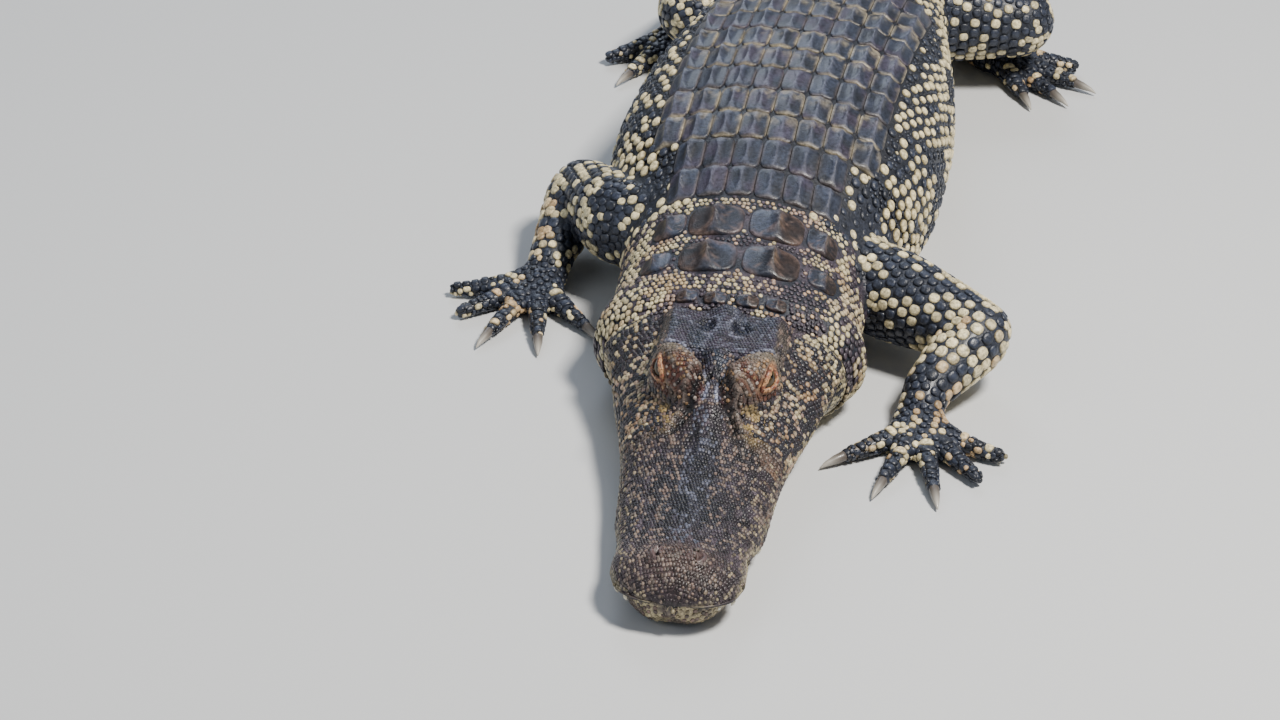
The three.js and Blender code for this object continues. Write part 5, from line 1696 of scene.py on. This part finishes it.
def lids():
    """Rims of the lids: a soft roll round each slit, lying on the eyeball."""
    parts = []
    count, around = 64, 10
    phi, theta = (2 * math.pi * np.arange(n) / n for n in (count, around))
    phi_all, theta_all = np.repeat(phi, around), np.tile(theta, count)
    a = (SLIT[0] + 1.2) * np.cos(phi)
    b = (SLIT[1] + 1.7) * np.sign(np.sin(phi)) * np.abs(np.sin(phi)) ** 1.25
    d = np.sqrt(np.maximum((EYE["radius"] + 0.9) ** 2 - a ** 2 - b ** 2, 1))
    creased = 1 + 0.16 * np.sin(phi * 17 + 2 * np.sin(phi * 5))[:, None]
    wide = (2.5 + 0.4 * np.sin(phi))[:, None] * creased
    for sign in (1, -1):
        centre, out, over, along = eye_axes(sign)
        path = centre + d[:, None] * out + a[:, None] * along + b[:, None] * over
        way, up = unit(np.roll(path, -1, 0) - np.roll(path, 1, 0)), unit(path - centre)
        ring = path[:, None] + (wide * np.cos(theta))[..., None] * np.cross(way, up)[:, None]
        points = (ring + (1.9 * creased * np.sin(theta))[..., None] * up[:, None]).reshape(-1, 3)
        quads = grid_faces(count + 1, around, True) % (count * around)
        face = np.cross(points[quads[:, 1]] - points[quads[:, 0]], points[quads[:, 3]] - points[quads[:, 0]])
        if np.sum(face * (points - np.repeat(path, around, 0))[quads[:, 0]]) < 0:
            quads = quads[:, ::-1]
        tone = mix(RUST * 1.6, AMBER, smooth(0.3, 0.6, noise(phi_all * 20, theta_all * 3, 3, 131)))
        paint = mix(tone, RUST * 0.35, 0.9 * smooth(0.3, 1.0, -np.cos(theta_all)))
        root = np.array([[EYE["s"], sign * EYE["x"]]], float)
        patch = patch_uv(root, np.sin(phi_all)[None], np.cos(phi_all)[None])
        parts.append((points, quads, np.zeros((0, 3), int), patch, paint))
    build_coat("lids", parts, "head_skin", LID_HIDE)


def horn_piece(name, paths, sizes, foot_tint, tip_tint, around):
    """Curved cones as one piece of horn."""
    points, faces = joined([tube_points(path, radii, around) for path, radii in zip(paths, sizes)])
    t = np.append(np.repeat(np.linspace(0, 1, len(paths[0])), around), [0, 1])
    paint = np.tile(mix(np.array(foot_tint), np.array(tip_tint), smooth(0.1, 0.9, t)), (len(paths), 1))
    return new_object(name, points, faces, "claw", paint, None, HORN)


def claws():
    paths, names = [], []
    shape = np.array([[0, 0, 1], [0.36, 0, 0.86], [0.72, -0.04, 0.52], [1, -0.16, 0.1]])
    fine = np.linspace(0, 1, 12)
    drop, thick = (np.interp(fine, shape[:, 0], shape[:, k]) for k in (1, 2))
    for limb, toe in product(LIMBS, range(3)):
        path = toe_path(limb, toe)
        way = unit(path[3] - path[2])
        curve = path[3] - way * 2.5 + way * (CLAW["length"] + 2.2) * fine[:, None]
        bend = CLAW["length"] * (drop - 0.03 * np.sin(math.pi * fine))
        curve[:, 2] = np.maximum(curve[:, 2] + bend, 1.0)
        paths.append(curve)
        names.append(f"{limb}_claw_{toe + 1}")
    sizes = [np.maximum(CLAW["radius"] * thick * 0.98, 0.5)] * len(paths)
    piece = horn_piece("claws", paths, sizes, (0.10, 0.085, 0.075), (0.42, 0.39, 0.34), 14)
    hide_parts(*names)


def teeth():
    """The upper teeth, which stand over the edge of the lower jaw."""
    paths, sizes = [], []
    t = np.linspace(0, 1, 8)
    for k, sign in product(range(TEETH["count"] + 3), (-1, 1)):
        s = TEETH["from"] + TEETH["pitch"] * k * 0.81
        long = float(tooth_length(s)) * rng.uniform(0.85, 1.1)
        x = float(jaw_half(s)) - 5.2 + 1.6 * np.sin(t * math.pi)
        z = float(mouth(s)) + TEETH["root"] - (long + TEETH["root"]) * t
        paths.append(place(s + t, sign * x, z))
        sizes.append(np.maximum(TEETH["radius"] * (0.6 + long / 30) * np.sqrt(1 - t ** 1.6) * 0.95, 0.3))
    horn_piece("teeth", paths, sizes, (0.55, 0.47, 0.30), (0.72, 0.68, 0.55), 12)


# Floor, light and camera. Each light: its place from the neck in metres, power, size and tint
LIGHTS = {
    "key": ((1.5, -0.5, 3.2), 225, 0.7, (1.0, 0.96, 0.89)),
    "fill": ((-3.0, -1.8, 2.0), 30, 3.0, (0.85, 0.92, 1.0)),
    "rim": ((-1.0, 3.4, 2.4), 45, 1.6, (0.78, 0.87, 1.0)),
}
CAMERA = {"azimuth": 6.53, "elevation": 29.90, "roll": 3.0, "focal": 3868, "at": (278, -2754, 1865)}
PHOTO_WIDTH = 1280
SENSOR = 36


def studio():
    bpy.ops.mesh.primitive_plane_add(size=40, location=(0, 0, -0.0004))
    floor = bpy.context.object
    floor.name = "floor"
    pale = new_material("floor", {"Base Color": (0.62, 0.63, 0.64, 1), "Roughness": 0.7})[0]
    floor.data.materials.append(pale)
    floor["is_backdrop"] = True
    world = bpy.data.worlds.new("studio")
    bpy.context.scene.world = world
    world.use_nodes = True
    with_inputs(world.node_tree.nodes["Background"], {"Color": (0.80, 0.88, 1.0, 1), "Strength": 0.24})
    aim = Vector(to_world(place(420, 0, 80)))
    for name, (offset, power, size, tint) in LIGHTS.items():
        light = bpy.data.lights.new(name, "AREA")
        light.energy = power
        light.size = size
        light.color = tint
        lamp = linked(name, light)
        lamp.location = aim + Vector(offset)
        lamp.rotation_euler = (aim - lamp.location).to_track_quat("-Z", "Y").to_euler()


def camera():
    az, el, roll = (math.radians(CAMERA[k]) for k in ("azimuth", "elevation", "roll"))
    rear = Vector((math.sin(az) * math.cos(el), -math.cos(az) * math.cos(el), math.sin(el)))
    right = Vector((math.cos(az), math.sin(az), 0))
    up = right.cross(-rear)
    right, up = right * math.cos(roll) + up * math.sin(roll), up * math.cos(roll) - right * math.sin(roll)
    data = bpy.data.cameras.new("camera")
    data.sensor_fit = "HORIZONTAL"
    data.sensor_width = SENSOR
    data.lens = CAMERA["focal"] / PHOTO_WIDTH * SENSOR
    data.clip_end = 100
    basis = Matrix((right, up, rear)).transposed().to_4x4()
    basis.translation = Vector(to_world(np.array(CAMERA["at"])))
    eye = linked("camera", data)
    eye.matrix_world = basis
    bpy.context.scene.camera = eye


# Each piece in turn, since the scales set later keep clear of those set before
tree, skin_points = finished_skin()
build_coat("back_plates", plate_parts())
build_coat("neck_plates", neck_plate_parts())
build_coat("neck_grains", neck_parts(tree))
build_coat("flank_scales_left", flank_parts(tree, 1))
build_coat("flank_scales_right", flank_parts(tree, -1))
build_coat("belly_tiles", belly_parts())
build_coat("tail_tiles", tail_parts())
build_coat("tail_crest", crest_parts())
build_coat("tail_top_plates", rump_parts())
for limb in LIMBS:
    build_coat(limb + "_scales", leg_parts(tree, limb, skin_points))
build_coat("fold_grains", fold_parts(tree, 1) + fold_parts(tree, -1))
build_coat("cheek_grains", cheek_parts(tree), "head_skin")
build_coat("face_grains", face_parts(tree), "head_skin")
build_coat("face_fill", head_fill(tree, skin_points), "head_skin")
lids()
eyeballs()
claws()
teeth()
studio()
camera()

[[list(map(float, corner)) for corner in box] for box in (cad_box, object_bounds())]
